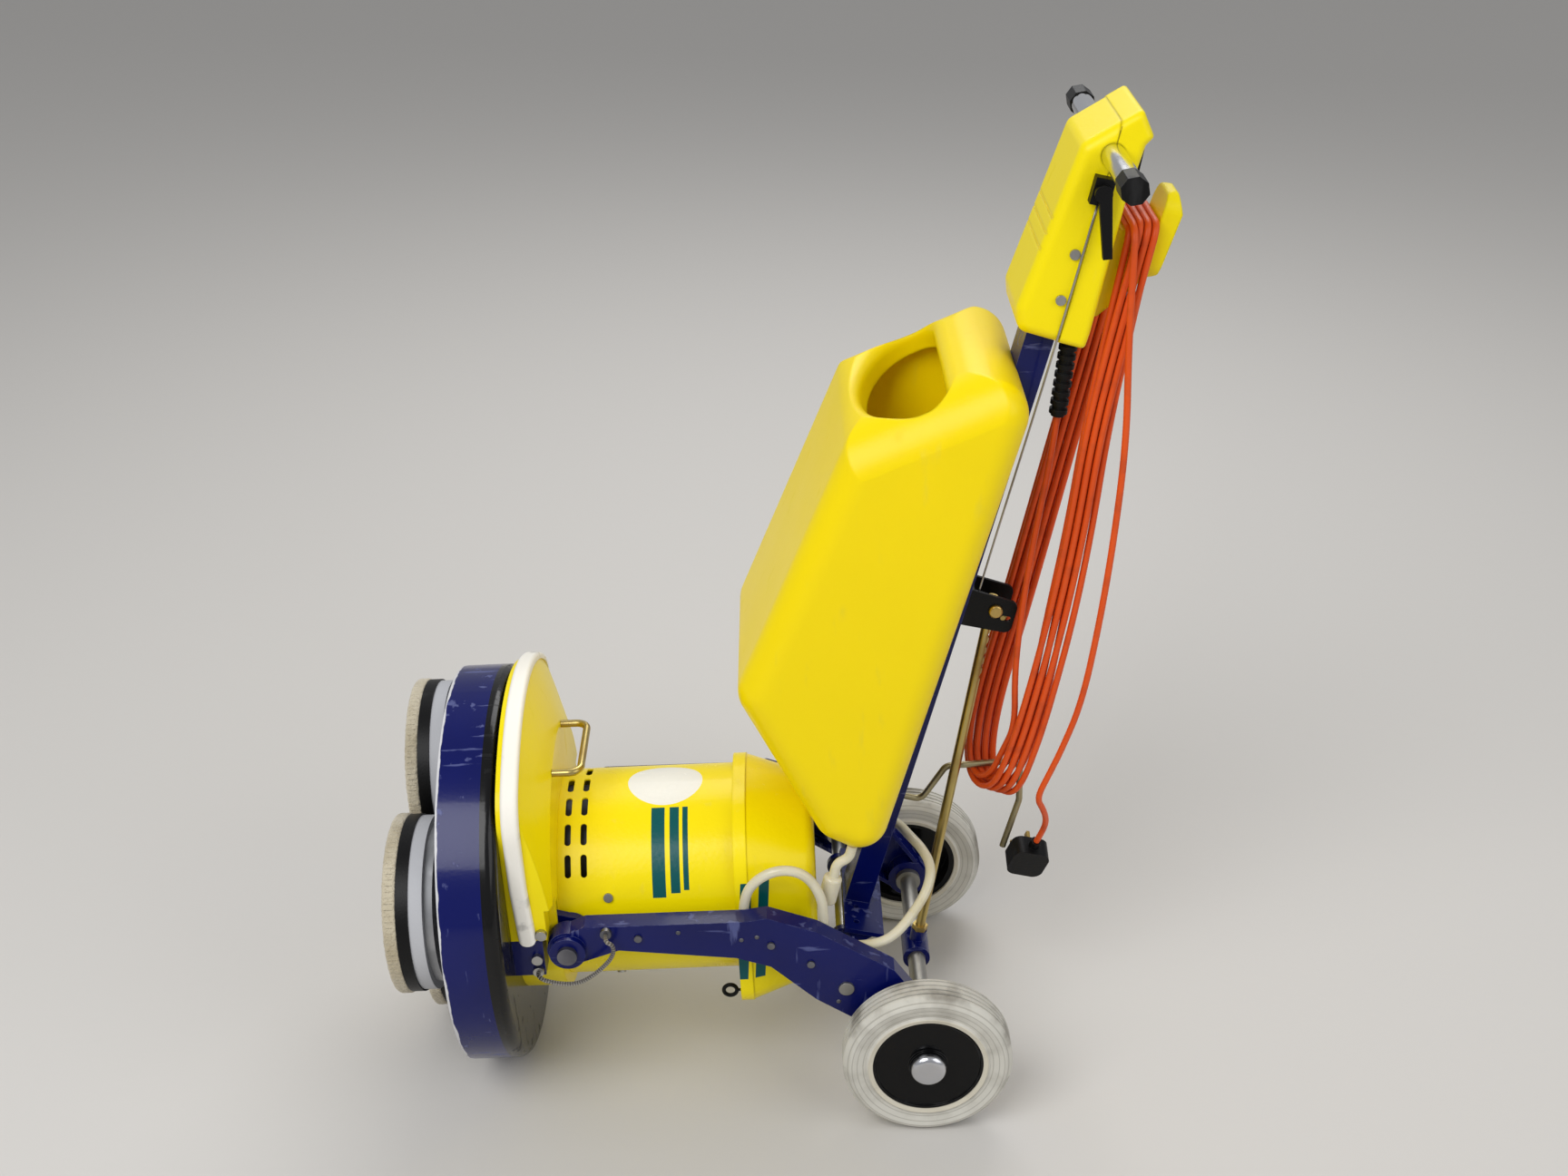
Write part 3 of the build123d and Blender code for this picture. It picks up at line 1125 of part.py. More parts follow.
def beyond(start, end, distance):
    """A point on the line from start through end, at a distance past the end."""
    way = (Vector(*end) - Vector(*start)).normalized()
    at = Vector(*end) + way * distance
    return (at.X, at.Y, at.Z)


relief_end = RELIEF.origin + RELIEF_WAY * RELIEF_L
relief_on = relief_end + RELIEF_WAY * 34
LEAD_ROUTE = [
    (relief_end.X, relief_end.Y, relief_end.Z), (relief_on.X, relief_on.Y, relief_on.Z),
    (61, -19, 610), (66, -27, 530), (75, -35, 450), (87, -36, 380),
    beyond(hank_route[1], HANK_START, 46), HANK_START,
]
PARTS["cord_lead"] = HANDLE * tube(LEAD_ROUTE, corner_radii(LEAD_ROUTE), CORD_R)
PLUG_TOP = (184, -6, 140)
TAIL_ROUTE = [
    HANK_END, beyond(LAST_RUN[-1], HANK_END, 34),
    (170, -38, 207), (181, -25, 186), (186, -13, 164), PLUG_TOP,
]
PARTS["cord_tail"] = HANDLE * tube(TAIL_ROUTE, corner_radii(TAIL_ROUTE), CORD_R)

# Plug: its top faces the cord, its pins point away from the viewer
tail_way = (Vector(*PLUG_TOP) - Vector(*TAIL_ROUTE[-2])).normalized()
PLUG = Plane(origin=PLUG_TOP, x_dir=(cos(tilt), 0, sin(tilt)), z_dir=tail_way)
plug = drum(CORD_R + 3, 0, 12) + Pos(0, 0, 10 + PLUG_H / 2) * Box(PLUG_W, PLUG_T, PLUG_H)
plug = fillet(plug.edges().filter_by(Axis.Y), 12)
PARTS["plug"] = HANDLE * (PLUG * plug)
pin = Box(7, 18, 4)
pins = Pos(0, -PLUG_T / 2 - 9, 24) * Box(4, 18, 8)
pins += [Pos(side * 11, -PLUG_T / 2 - 9, 44) * pin for side in (-1, 1)]
PARTS["plug_pins"] = HANDLE * (PLUG * pins)

print("hank length", round(hank_path.length), "least gap", round(least_gap(hank_path, CORD_R), 2))
routes = {"lead": LEAD_ROUTE, "tail": TAIL_ROUTE, "feed": FEED_ROUTE, "drain": DRAIN_ROUTE}
for label, route in routes.items():
    print(label, "radii", [round(r) for r in corner_radii(route)])

# The origin is on the floor under the middle of the machine, without the cord
CORD_NODES = ["cord_lead", "cord_hank", "cord_tail", "plug", "plug_pins"]
boxes = [solid.bounding_box() for name, solid in PARTS.items() if name not in CORD_NODES]
low = Vector(*[min(getattr(b.min, axis) for b in boxes) for axis in "XYZ"])
high = Vector(*[max(getattr(b.max, axis) for b in boxes) for axis in "XYZ"])
SHIFT = Pos(-(low.X + high.X) / 2, -(low.Y + high.Y) / 2, -low.Z)
print("size", [round(v, 1) for v in (high - low)], "shift", [round(v, 3) for v in SHIFT.position])

# Joint places in the finished frame, in metres
places = {"head pivot": pivot, "handle shaft": SHAFT_AT, "axle": Vector(0, 0, WHEEL_R), "deck": HEAD.origin}
places["latch"] = HANDLE.from_local_coords(Vector(LATCH_X, 0, LATCH_Z))
places["lever"] = HANDLE.from_local_coords(Vector(LEVER_PIVOT[0], clamp_y, LEVER_PIVOT[1]))
places["trigger"] = HANDLE.from_local_coords(Vector(TRIGGER_PIN[0], 0, TRIGGER_PIN[1]))
for tag, (x, y) in zip("abc", spindles):
    places["brush " + tag] = HEAD.from_local_coords(Vector(x, y, PAD_FACE))
for label, at in places.items():
    print(label, [round(v / 1000, 6) for v in at + SHIFT.position])

for name, solid in PARTS.items():
    export_step(SHIFT * solid, f"parts/{name}.step")
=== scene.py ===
# %% [markdown]
# A three-brush floor scrubber, dressed in Blender.
# The solid model comes in as a fixed frame: every rigid piece is already there, in metres, in its place.
# This lesson adds what a solid model can't show: the mains cord, the hoses, the felt pads, the fasteners,
# and a finish for every surface.

# %% Load the frame
from math import cos, pi, radians, sin

import bpy
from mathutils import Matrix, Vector


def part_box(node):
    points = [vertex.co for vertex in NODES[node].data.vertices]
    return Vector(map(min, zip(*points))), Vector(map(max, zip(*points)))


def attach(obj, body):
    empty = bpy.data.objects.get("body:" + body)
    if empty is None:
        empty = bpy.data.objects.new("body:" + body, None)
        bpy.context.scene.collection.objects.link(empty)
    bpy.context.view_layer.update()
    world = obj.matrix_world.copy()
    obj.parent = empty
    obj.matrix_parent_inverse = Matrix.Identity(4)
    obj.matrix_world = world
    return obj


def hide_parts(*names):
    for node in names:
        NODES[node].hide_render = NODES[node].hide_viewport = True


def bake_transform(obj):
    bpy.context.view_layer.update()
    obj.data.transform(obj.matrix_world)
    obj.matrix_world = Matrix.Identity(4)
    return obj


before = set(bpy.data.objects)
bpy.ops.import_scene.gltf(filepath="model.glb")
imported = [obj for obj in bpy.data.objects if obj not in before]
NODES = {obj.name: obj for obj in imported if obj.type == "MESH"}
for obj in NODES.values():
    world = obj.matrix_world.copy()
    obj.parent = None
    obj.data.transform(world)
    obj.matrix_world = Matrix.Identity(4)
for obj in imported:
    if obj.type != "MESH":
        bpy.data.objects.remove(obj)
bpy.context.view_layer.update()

# %% [markdown]
# The machine is parked with its brush head swung up on edge, so two of its assemblies lean.
# The handle column leans back from its shaft, and the head stands on the rim of its deck.
# Three small functions turn millimetres measured on an assembly into places in the frame.

# %% Places on the handle, the head and the chassis
MM = 0.001
ACROSS = Vector((0, 1, 0))
axle_low, axle_high = (Vector(corner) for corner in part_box("axle"))
AXLE_X = (axle_low.x + axle_high.x) / 2

SHAFT_FORWARD = 0.095
SHAFT_HEIGHT = 0.175
COLUMN_BEHIND = 0.030
COLUMN_LEAN = radians(12.05)
REAR = Vector((cos(COLUMN_LEAN), 0, -sin(COLUMN_LEAN)))
ALONG = Vector((sin(COLUMN_LEAN), 0, cos(COLUMN_LEAN)))
COLUMN_FOOT = Vector((AXLE_X - SHAFT_FORWARD, 0, SHAFT_HEIGHT)) + COLUMN_BEHIND * REAR

DECK_FORWARD = 0.552
DECK_R = 0.240
HEAD_LEAN = radians(2.5)
HEAD_UP = Vector((cos(HEAD_LEAN), 0, sin(HEAD_LEAN)))
HEAD_FRONT = Vector((-sin(HEAD_LEAN), 0, cos(HEAD_LEAN)))
DECK_CENTRE = Vector((AXLE_X - DECK_FORWARD, 0, DECK_R * cos(HEAD_LEAN)))


def on_handle(rear, across, along):
    return COLUMN_FOOT + MM * (rear * REAR + across * ACROSS + along * ALONG)


def on_head(front, near, up):
    return DECK_CENTRE + MM * (front * HEAD_FRONT - near * ACROSS + up * HEAD_UP)


def on_chassis(x, y, z):
    return Vector((AXLE_X + x * MM, y * MM, z * MM))


print("axle at", round(AXLE_X, 4), "column foot at", [round(v, 4) for v in COLUMN_FOOT])

# %% [markdown]
# The camera stands where the photographer stood: about two and a half metres away, above the handle,
# looking down at the near side. It comes first, because the cord has to lie inside its view.

# %% Camera
CAMERA_AT = (AXLE_X - 0.1829, -1.9459, 1.6403)
CAMERA_TILT = radians(62.272)
CAMERA_TURN = radians(-0.462)
CAMERA_LENS = 43.98
SENSOR_WIDTH = 36.0
bpy.ops.object.camera_add(location=CAMERA_AT, rotation=(CAMERA_TILT, 0, CAMERA_TURN))
camera = bpy.context.object
camera.data.lens = CAMERA_LENS
camera.data.sensor_width = SENSOR_WIDTH
bpy.context.scene.camera = camera
print("camera at", [round(v, 4) for v in CAMERA_AT])

# %% [markdown]
# The mains cord is one length of orange rubber cable. It leaves the casing through a ribbed sleeve, hangs
# down behind the column, and is wound eight times between the yellow hook and the bent rod below it.
# A cable is best drawn as one smooth curve, led by a few control points, with a round bevel for its
# thickness, so that each turn can be moved by hand. The points repeat the route of the solid cord.
# First come the measures of a turn, in millimetres on the handle. A run lists heights, the distance
# from the middle and the spread of the outer layer. A bow lists heights and how far the bundle bends
# to the rear.

# %% Measures of the hank
CORD_D = 0.0075
LOOPS = 8
LAYER = 4
STRAND = 8.0
LOW_STRAND = 10.0
LOW_X, LOW_Z = 88.0, 213.0
SADDLE_X = 64.0
FAR_RUN = [(300, 38, 1.4), (440, 42, 1.3), (600, 40, 1.2)]
NEAR_RUN = [
    (800, 38, 1.0), (690, 38, 1.1), (580, 37, 1.25), (470, 35, 1.35), (360, 32, 1.4), (290, 26, 1.4),
]
NEAR_BOW = [
    (200, 22), (270, 23), (340, 24), (410, 24), (490, 23), (595, 17), (690, 8), (800, 3), (930, 0),
]
FAR_BOW = [
    (200, -8), (225, -11), (280, -18), (355, -13), (440, -10), (550, -6), (650, -8), (800, -3), (930, 0),
]
BUNDLE_GAP = 60.0
SADDLE_EDGE_X, SADDLE_EDGE_Z = 59.0, 910.0
SADDLE_SLOPE = 7 / 33
CORD_ABOVE = 4.05


def clip(value):
    return min(1.0, max(0.0, value))


def between(table, z):
    """A value read off a table of heights."""
    for (z0, v0), (z1, v1) in zip(table, table[1:]):
        if z <= z1:
            return v0 + (v1 - v0) * (z - z0) / (z1 - z0)
    return table[-1][1]


def bowed(x, y, z):
    """The near bundle leans to the rear, the far one a little to the front."""
    near = clip(0.5 - y / BUNDLE_GAP)
    return (x + near * between(NEAR_BOW, z) + (1 - near) * between(FAR_BOW, z), y, z)


def saddle_z(x):
    """The height of a strand that lies on the hook's sloping saddle."""
    return SADDLE_EDGE_Z + (x - SADDLE_EDGE_X) * SADDLE_SLOPE + CORD_ABOVE


print("a hank of", LOOPS, "turns in layers of", LAYER)

# %% [markdown]
# Each turn goes under the rod, up the far side, over the saddle and down the near side. On the near side
# a strand moves over to the next place, so that the turns make one winding. The inner layer fills from
# the column outwards, and its last strand climbs to the outer layer, which comes back. A stretch is the
# height where such a move starts and the drop that it takes.

# %% The near side of a turn
INNER_MOVE = (470, 180)
OUTER_MOVE = (930, 240)
CLIMB = (690, 220)


def gone(z, stretch):
    """How much of a stretch lies above a height, 0 to 1."""
    start, drop = stretch
    return clip((start - z) / drop)


def near_side(turn, layer, place, rise, top):
    """The way down on the near side, over to the place of the next turn."""
    climbs = turn == LAYER - 1
    step = 0 if climbs else (1, -1)[layer]
    run = []
    for z, y, spread in NEAR_RUN:
        moved = gone(z, OUTER_MOVE if layer else INNER_MOVE)
        climbed = gone(z, CLIMB) if climbs else layer
        share = (z - rise) / (top - rise)
        at = place + step * moved
        x = (LOW_X + LOW_STRAND * at) * (1 - share) + (SADDLE_X + STRAND * at) * share
        run.append(bowed(x, -y - spread * STRAND * climbed, z))
    return run


print("near side has", len(NEAR_RUN), "points a turn")

# %% [markdown]
# At the saddle the line needs a few points more: two on top of the hook, and one a little way down on
# each side, so that it bends round the hook and not through it. The last turn hangs loose outside the
# others.

# %% A whole turn
UNDER_NEAR, UNDER_MIDDLE, UNDER_FAR = -14.0, 8.0, 30.0
UNDER_RISE = 16.0
UNDER_SAG = 5.0
UNDER_SPREAD = 1.35
UNDER_DROP = 1.4
HOOK_SIDE = 37.5
HOOK_HALF = 14.0
HOOK_REACH = 36.0
LAST_OUT = 11.0
LAST_RUN = [
    (93, -60, 800), (121, -63, 699), (141, -65, 584), (155, -65, 481), (166, -61, 375), (163, -55, 305),
]


def some_way(start, end, distance):
    """A point on the run from start to end, that far from its start."""
    way = Vector(end) - Vector(start)
    return Vector(start) + way.normalized() * distance


def hank_turn(turn):
    layer = turn // LAYER
    place = turn if layer == 0 else 2 * LAYER - 1 - turn
    last = turn == LOOPS - 1
    out = STRAND * layer
    low_x, top_x = LOW_X + LOW_STRAND * place, SADDLE_X + STRAND * place
    low, top = LOW_Z - place - UNDER_DROP * out, saddle_z(top_x) + out
    rise = low + UNDER_RISE
    run = [
        bowed(low_x, UNDER_NEAR - UNDER_SPREAD * out, rise),
        bowed(low_x, UNDER_MIDDLE, low - UNDER_SAG),
        bowed(low_x, UNDER_FAR + UNDER_SPREAD * out, rise),
    ]
    for z, y, spread in FAR_RUN:
        share = (z - rise) / (top - rise)
        run.append(bowed(low_x + (top_x - low_x) * share, y + spread * out, z))
    far_top = (top_x, HOOK_SIDE + out, top)
    near_top = (top_x, -far_top[1] - (LAST_OUT if last else 0), top)
    down = LAST_RUN if last else near_side(turn, layer, place, rise, top)
    run += [some_way(far_top, run[-1], HOOK_REACH), far_top, (top_x, HOOK_HALF, top)]
    run += [(top_x, -HOOK_HALF, top), near_top, some_way(near_top, down[0], HOOK_REACH)]
    return run + down


print("a turn has", len(hank_turn(0)), "points")

# %% [markdown]
# The whole route is the lead from the sleeve down to the hank, the turns, and the tail with the plug.

# %% Cord route
RELIEF_OUT = (51, -20, 696)
lead_route = [
    RELIEF_OUT, (55.5, -20, 662.3), (61, -19, 610), (66, -27, 530), (75, -35, 450), (87, -36, 380),
    (107.2, -31.7, 310.9), (104, -22, 266),
]
tail_route = [
    (158, -52, 262), (154.1, -49.6, 228.3), (170, -38, 207),
    (181, -25, 186), (186, -13, 164), (184, -6, 140),
]
cord_route = list(lead_route)
for turn in range(LOOPS):
    cord_route += hank_turn(turn)
cord_route += tail_route
print("cord route has", len(cord_route), "points")

# %% [markdown]
# A NURBS spline of order three stays close to its control points and never has a kink.
# The order and the end setting are given after the points, because Blender lowers them on a short
# spline. A curve's box counts the radius of its points, so the points carry the cord's thickness, and
# the bevel is 1.

# %% Draw the cord


def smooth_line(name, points):
    """A curve object with one open NURBS spline, led by the places given."""
    data = bpy.data.curves.new(name, "CURVE")
    data.dimensions = "3D"
    spline = data.splines.new("NURBS")
    spline.points.add(len(points) - 1)
    for point, at in zip(spline.points, points):
        point.co = (*at, 1)
    spline.order_u = 3
    spline.use_endpoint_u = True
    data.resolution_u = 10
    line = bpy.data.objects.new(name, data)
    bpy.context.collection.objects.link(line)
    return line


def line_points(line):
    """Where the smooth line runs, read from its mesh."""
    mesh = bpy.data.meshes.new_from_object(line)
    points = [v.co.copy() for v in mesh.vertices]
    bpy.data.meshes.remove(mesh)
    return points


def length_of(points):
    return sum((b - a).length for a, b in zip(points, points[1:]))


mains_cord = smooth_line("mains_cord", [on_handle(*at) for at in cord_route])
cord_length = length_of(line_points(mains_cord))
for point in mains_cord.data.splines[0].points:
    point.radius = CORD_D / 2
mains_cord.data.bevel_depth = 1.0
mains_cord.data.bevel_resolution = 4
mains_cord.data.use_fill_caps = True
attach(mains_cord, "handle")
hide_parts("cord_lead", "cord_hank", "cord_tail")
tuple(on_handle(*RELIEF_OUT))
print("cord is", round(cord_length, 2), "m long")

# %% [markdown]
# The hoses are clear tubing that has gone creamy with age. They are meshes: rings of points set along the
# smooth line. Each point also keeps how far along and how far round it is, so that a braid can follow the
# tube.

# %% Tubes along a smooth line
TUBE_SIDES = 20


def tube_along(name, points, radius):
    """A closed mesh tube, with the measures along and round kept on its points."""
    vertices, faces, along, round_it = [], [], [], []
    travelled = 0.0
    side = (points[1] - points[0]).orthogonal().normalized()
    for i, at in enumerate(points):
        way = (points[min(i + 1, len(points) - 1)] - points[max(i - 1, 0)]).normalized()
        side = (side - way * side.dot(way)).normalized()
        other = way.cross(side)
        if i:
            travelled += (at - points[i - 1]).length
        for k in range(TUBE_SIDES):
            turn = 2 * pi * k / TUBE_SIDES
            vertices.append(at + radius * (cos(turn) * side + sin(turn) * other))
            along.append(travelled)
            round_it.append(k / TUBE_SIDES)
    for i in range(len(points) - 1):
        for k in range(TUBE_SIDES):
            a, b = i * TUBE_SIDES + k, i * TUBE_SIDES + (k + 1) % TUBE_SIDES
            faces.append((a, b, b + TUBE_SIDES, a + TUBE_SIDES))
    last = (len(points) - 1) * TUBE_SIDES
    faces.append(tuple(reversed(range(TUBE_SIDES))))
    faces.append(tuple(last + k for k in range(TUBE_SIDES)))
    mesh = bpy.data.meshes.new(name)
    mesh.from_pydata([tuple(v) for v in vertices], [], faces)
    mesh.attributes.new("along", "FLOAT", "POINT").data.foreach_set("value", along)
    mesh.attributes.new("round", "FLOAT", "POINT").data.foreach_set("value", round_it)
    mesh.polygons.foreach_set("use_smooth", [len(f.vertices) == 4 for f in mesh.polygons])
    piece = bpy.data.objects.new(name, mesh)
    bpy.context.collection.objects.link(piece)
    return piece


def tube_on_route(name, places, diameter):
    """The tube and the points that it follows, from control points."""
    line = smooth_line(name + "_line", places)
    points = line_points(line)
    data = line.data
    bpy.data.objects.remove(line)
    bpy.data.curves.remove(data)
    return tube_along(name, points, diameter / 2), points


print("tubes have", TUBE_SIDES, "sides")

# %% [markdown]
# One hose arches over the near arm and rides with the chassis. The other comes from the tank and goes
# round the column and down to that arm. It crosses the handle's joint: its route starts on the handle and
# ends on the chassis.

# %% Hoses
HOSE_D = 0.012
HOSE_Y = -138.0
feed_route = [
    (-121, 221), (-121, 254), (-126, 288), (-144, 316),
    (-172, 323), (-199, 310), (-216, 284), (-216, 248),
]
drain_route = [
    (-62, 46, 162.5), (-62, 46, 144.5), (-50, 45, 122.5), (-24, 44, 112), (2, 41, 108), (20, 24, 110),
    (29, -4, 115), (42, -30, 118), (54, -56, 112), (52, -80, 94), (38, -100, 70), (20, -122, 52),
]
drain_end = [(-59, 213), (-84.7, 212)]
feed_places = [on_chassis(x, HOSE_Y, z) for x, z in feed_route]
drain_places = [on_handle(*at) for at in drain_route]
drain_places += [on_chassis(x, HOSE_Y, z) for x, z in drain_end]

feed_hose, feed_points = tube_on_route("solution_hose", feed_places, HOSE_D)
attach(feed_hose, "chassis")
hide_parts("feed_hose")

drain_hose, drain_points = tube_on_route("tank_hose", drain_places, HOSE_D)
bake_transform(drain_hose)
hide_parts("drain_hose")
print("hoses", round(length_of(feed_points), 3), round(length_of(drain_points), 3))

# %% [markdown]
# A braided strap of tinned copper earths the head to the near arm, because the pivot between them is
# painted. It ends in a lug beside the pivot.
# A thin steel cable runs from the release lever down to the latch. Both are tubes too.

# %% Earth strap and release cable
STRAP_D = 0.005
STRAP_OUT = 188.5
PIVOT = on_head(-13, 0, 132)
LUG = PIVOT + Vector((0.045, -0.176, 0.026))
lug_front = (LUG - DECK_CENTRE).dot(HEAD_FRONT) / MM
lug_up = (LUG - DECK_CENTRE).dot(HEAD_UP) / MM
strap_route = [
    (-38, 178, 96), (-38, STRAP_OUT, 96), (-47, STRAP_OUT, 120), (-48, STRAP_OUT, 144),
    (-32, STRAP_OUT, 167), (lug_front - 22, STRAP_OUT, lug_up + 8),
    (lug_front - 5, STRAP_OUT, lug_up + 10), (lug_front, STRAP_OUT, lug_up), (lug_front, 176, lug_up),
]
strap_places = [on_head(*at) for at in strap_route]
earth_strap, strap_points = tube_on_route("earth_braid", strap_places, STRAP_D)
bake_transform(earth_strap)
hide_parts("earth_strap")

CABLE_D = 0.0024
cable_route = [(17, -65, 942), (17, -65, 786), (22.7, -20, 510), (22.7, -20, 470)]
cable_places = [on_handle(*at) for at in cable_route]
release_cable, cable_points = tube_on_route("latch_cable", cable_places, CABLE_D)
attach(release_cable, "handle")
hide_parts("release_cable")
print("strap", round(length_of(strap_points), 3), "cable", round(length_of(cable_points), 3))

# %% [markdown]
# A plain pale floor and three large soft lamps. The key lamp stands in front and to the left, as high as
# the ceiling lamps of a workshop, a weaker one fills the right side, and one behind lights the edges.
# Each lamp is listed with its place, its size in metres and its power in watts.

# %% Floor and lamps
FLOOR_SIZE = 24
AIM = Vector((0.0, 0.0, 0.5))
LAMPS = {
    "key": ((-1.6, -2.4, 3.2), 2.4, 96.0),
    "fill": ((2.6, -1.8, 2.2), 2.4, 30.0),
    "back": ((0.4, 2.2, 3.0), 2.0, 45.0),
}
AIR_COLOUR = (0.80, 0.81, 0.83, 1)
AIR_STRENGTH = 0.48

bpy.ops.mesh.primitive_plane_add(size=FLOOR_SIZE)
floor = bpy.context.object
floor.name = "floor"

for label, (at, size, power) in LAMPS.items():
    facing = (AIM - Vector(at)).to_track_quat("-Z", "Y").to_euler()
    bpy.ops.object.light_add(type="AREA", location=at, rotation=facing)
    lamp = bpy.context.object
    lamp.name = label + "_lamp"
    lamp.data.size = size
    lamp.data.energy = power

studio = bpy.data.worlds.new("studio")
bpy.context.scene.world = studio
studio.use_nodes = True
air = studio.node_tree.nodes["Background"]
air.inputs["Color"].default_value = AIR_COLOUR
air.inputs["Strength"].default_value = AIR_STRENGTH
bpy.context.scene.view_settings.view_transform = "Standard"
print("lamps", ", ".join(LAMPS))

# %% [markdown]
# Finishes are node materials. Writing their sums as Python expressions keeps them readable: a Value wraps
# the output of a node, and adding or comparing two of them adds a Math node.

# %% Shader sums


class Value:
    """A number or colour that comes out of a node."""

    def __init__(self, finish, socket):
        self.finish = finish
        self.socket = socket

    def sum_of(self, operation, first, second):
        return self.finish.node("ShaderNodeMath", {"operation": operation}, {0: first, 1: second})

    def __add__(self, other):
        return self.sum_of("ADD", self, other)

    def __radd__(self, other):
        return self.sum_of("ADD", other, self)

    def __sub__(self, other):
        return self.sum_of("SUBTRACT", self, other)

    def __rsub__(self, other):
        return self.sum_of("SUBTRACT", other, self)

    def __mul__(self, other):
        return self.sum_of("MULTIPLY", self, other)

    def __rmul__(self, other):
        return self.sum_of("MULTIPLY", other, self)

    def __gt__(self, other):
        return self.sum_of("GREATER_THAN", self, other)

    def __lt__(self, other):
        return self.sum_of("LESS_THAN", self, other)


def within(value, low, high):
    """1 between two limits, 0 outside them."""
    return (value > low) * (value < high)


print("shader sums ready")

# %% [markdown]
# A Finish holds one material. Its node method makes any node from its type, its settings and its inputs,
# and feed gives a number, a colour or a Value to a socket of the shader. The other methods are the few
# patterns that these finishes share: clouds of noise, distances in a direction, worn edges and bumps.

# %% One finish


class Finish:
    """One material: a Principled shader and the nodes that feed it."""

    def __init__(self, name, shine=0.3, **sockets):
        self.material = bpy.data.materials.new(name)
        self.material.use_nodes = True
        self.tree = self.material.node_tree
        self.shader = self.tree.nodes["Principled BSDF"]
        self.feed("Specular IOR Level", shine)
        for socket, value in sockets.items():
            self.feed(socket.replace("_", " ").title(), value)

    def node(self, kind, settings=None, inputs=None, out=0):
        made = self.tree.nodes.new(kind)
        for key, value in (settings or {}).items():
            setattr(made, key, value)
        for key, value in (inputs or {}).items():
            if isinstance(value, Value):
                self.tree.links.new(value.socket, made.inputs[key])
            else:
                made.inputs[key].default_value = value
        return Value(self, made.outputs[out])

    def feed(self, socket, value):
        if isinstance(value, Value):
            self.tree.links.new(value.socket, self.shader.inputs[socket])
        else:
            self.shader.inputs[socket].default_value = value

    def mix(self, share, first, second):
        return self.node("ShaderNodeMix", {"data_type": "RGBA"}, {0: share, 6: first, 7: second}, 2)

    def along(self, origin, direction):
        """Metres from a place, in a direction."""
        vector = "ShaderNodeVectorMath"
        here = self.node("ShaderNodeTexCoord", out="Object")
        offset = self.node(vector, {"operation": "SUBTRACT"}, {0: here, 1: tuple(origin)})
        return self.node(vector, {"operation": "DOT_PRODUCT"}, {0: offset, 1: tuple(direction)}, "Value")

    def kept(self, attribute):
        """A measure that the piece keeps on its points."""
        return self.node("ShaderNodeAttribute", {"attribute_name": attribute}, out="Fac")

    def cloud(self, scale, detail=3.0, stretch=(1, 1, 1)):
        here = self.node("ShaderNodeTexCoord", out="Object")
        place = self.node("ShaderNodeMapping", inputs={"Vector": here, "Scale": stretch})
        return self.node("ShaderNodeTexNoise", inputs={"Vector": place, "Scale": scale, "Detail": detail})

    def rise(self, value, low, high):
        """0 below low, 1 above high, smooth between."""
        smooth = {"interpolation_type": "SMOOTHSTEP"}
        return self.node("ShaderNodeMapRange", smooth, {0: value, 1: low, 2: high})

    def rounded(self, radius):
        return self.node("ShaderNodeBevel", {"samples": 4}, {"Radius": radius})

    def edges(self, radius):
        """1 along the edges of the piece, where paint rubs off first."""
        flat = self.node("ShaderNodeNewGeometry", out="Normal")
        same = self.node("ShaderNodeVectorMath", {"operation": "DOT_PRODUCT"}, {
            0: self.rounded(radius), 1: flat}, "Value")
        return self.rise(1 - same, 0.02, 0.16)

    def bump(self, height, depth, edge=0.0008):
        self.feed("Normal", self.node("ShaderNodeBump", inputs={
            "Height": height, "Distance": depth, "Normal": self.rounded(edge)}))


def colour(red, green, blue):
    """A colour as seen on a screen, 0 to 255, in the shader's own scale."""
    shades = [c / 255 for c in (red, green, blue)]
    return (*(s / 12.92 if s < 0.04045 else ((s + 0.055) / 1.055) ** 2.4 for s in shades), 1)


def dress(finish, *names):
    """Gives a finish to pieces of the solid model."""
    for name in names:
        for slot in NODES[name].material_slots:
            slot.material = finish.material


def give(finish, *pieces):
    """Gives a finish to pieces that this lesson made."""
    for piece in pieces:
        piece.data.materials.clear()
        piece.data.materials.append(finish.material)


print("finishes can be made")

# %% [markdown]
# Yellow plastic makes up most of what is seen. The tank is moulded from polyethylene, so its skin is a
# little wavy and waxy, and some light comes through its wall. The covers are shinier. All have faint
# scuffs and a slow drift of shade. The scale of the skin and the softness of the edges differ from piece
# to piece.

# %% Yellow plastics
YELLOW = colour(247, 226, 4)
TANK_YELLOW = colour(252, 220, 0)
DEEP_YELLOW = colour(240, 212, 0)
DULL_YELLOW = colour(226, 206, 66)
YELLOW_SHINE = 0.22
SEAM_SHADE = colour(112, 92, 0)
SEAM_LOW, SEAM_HIGH = 0.0193, 0.0207
CASING_SIDE = 0.0575


def yellow_plastic(name, main, gloss, skin, soft, marks=None):
    finish = Finish(name, YELLOW_SHINE)
    drift = finish.rise(finish.cloud(4.0), 0.35, 0.75)
    shade = finish.mix(drift * 0.35, main, DEEP_YELLOW)
    scuff = finish.rise(finish.cloud(60.0, 6.0, (1, 1, 0.25)), 0.62, 0.78)
    shade = finish.mix(scuff * 0.3, shade, DULL_YELLOW)
    if marks:
        shade = marks(finish, shade)
    finish.feed("Base Color", shade)
    finish.feed("Roughness", gloss + 0.18 * scuff + 0.08 * drift)
    finish.bump(finish.cloud(skin, 2.0), 0.0002, soft)
    return finish


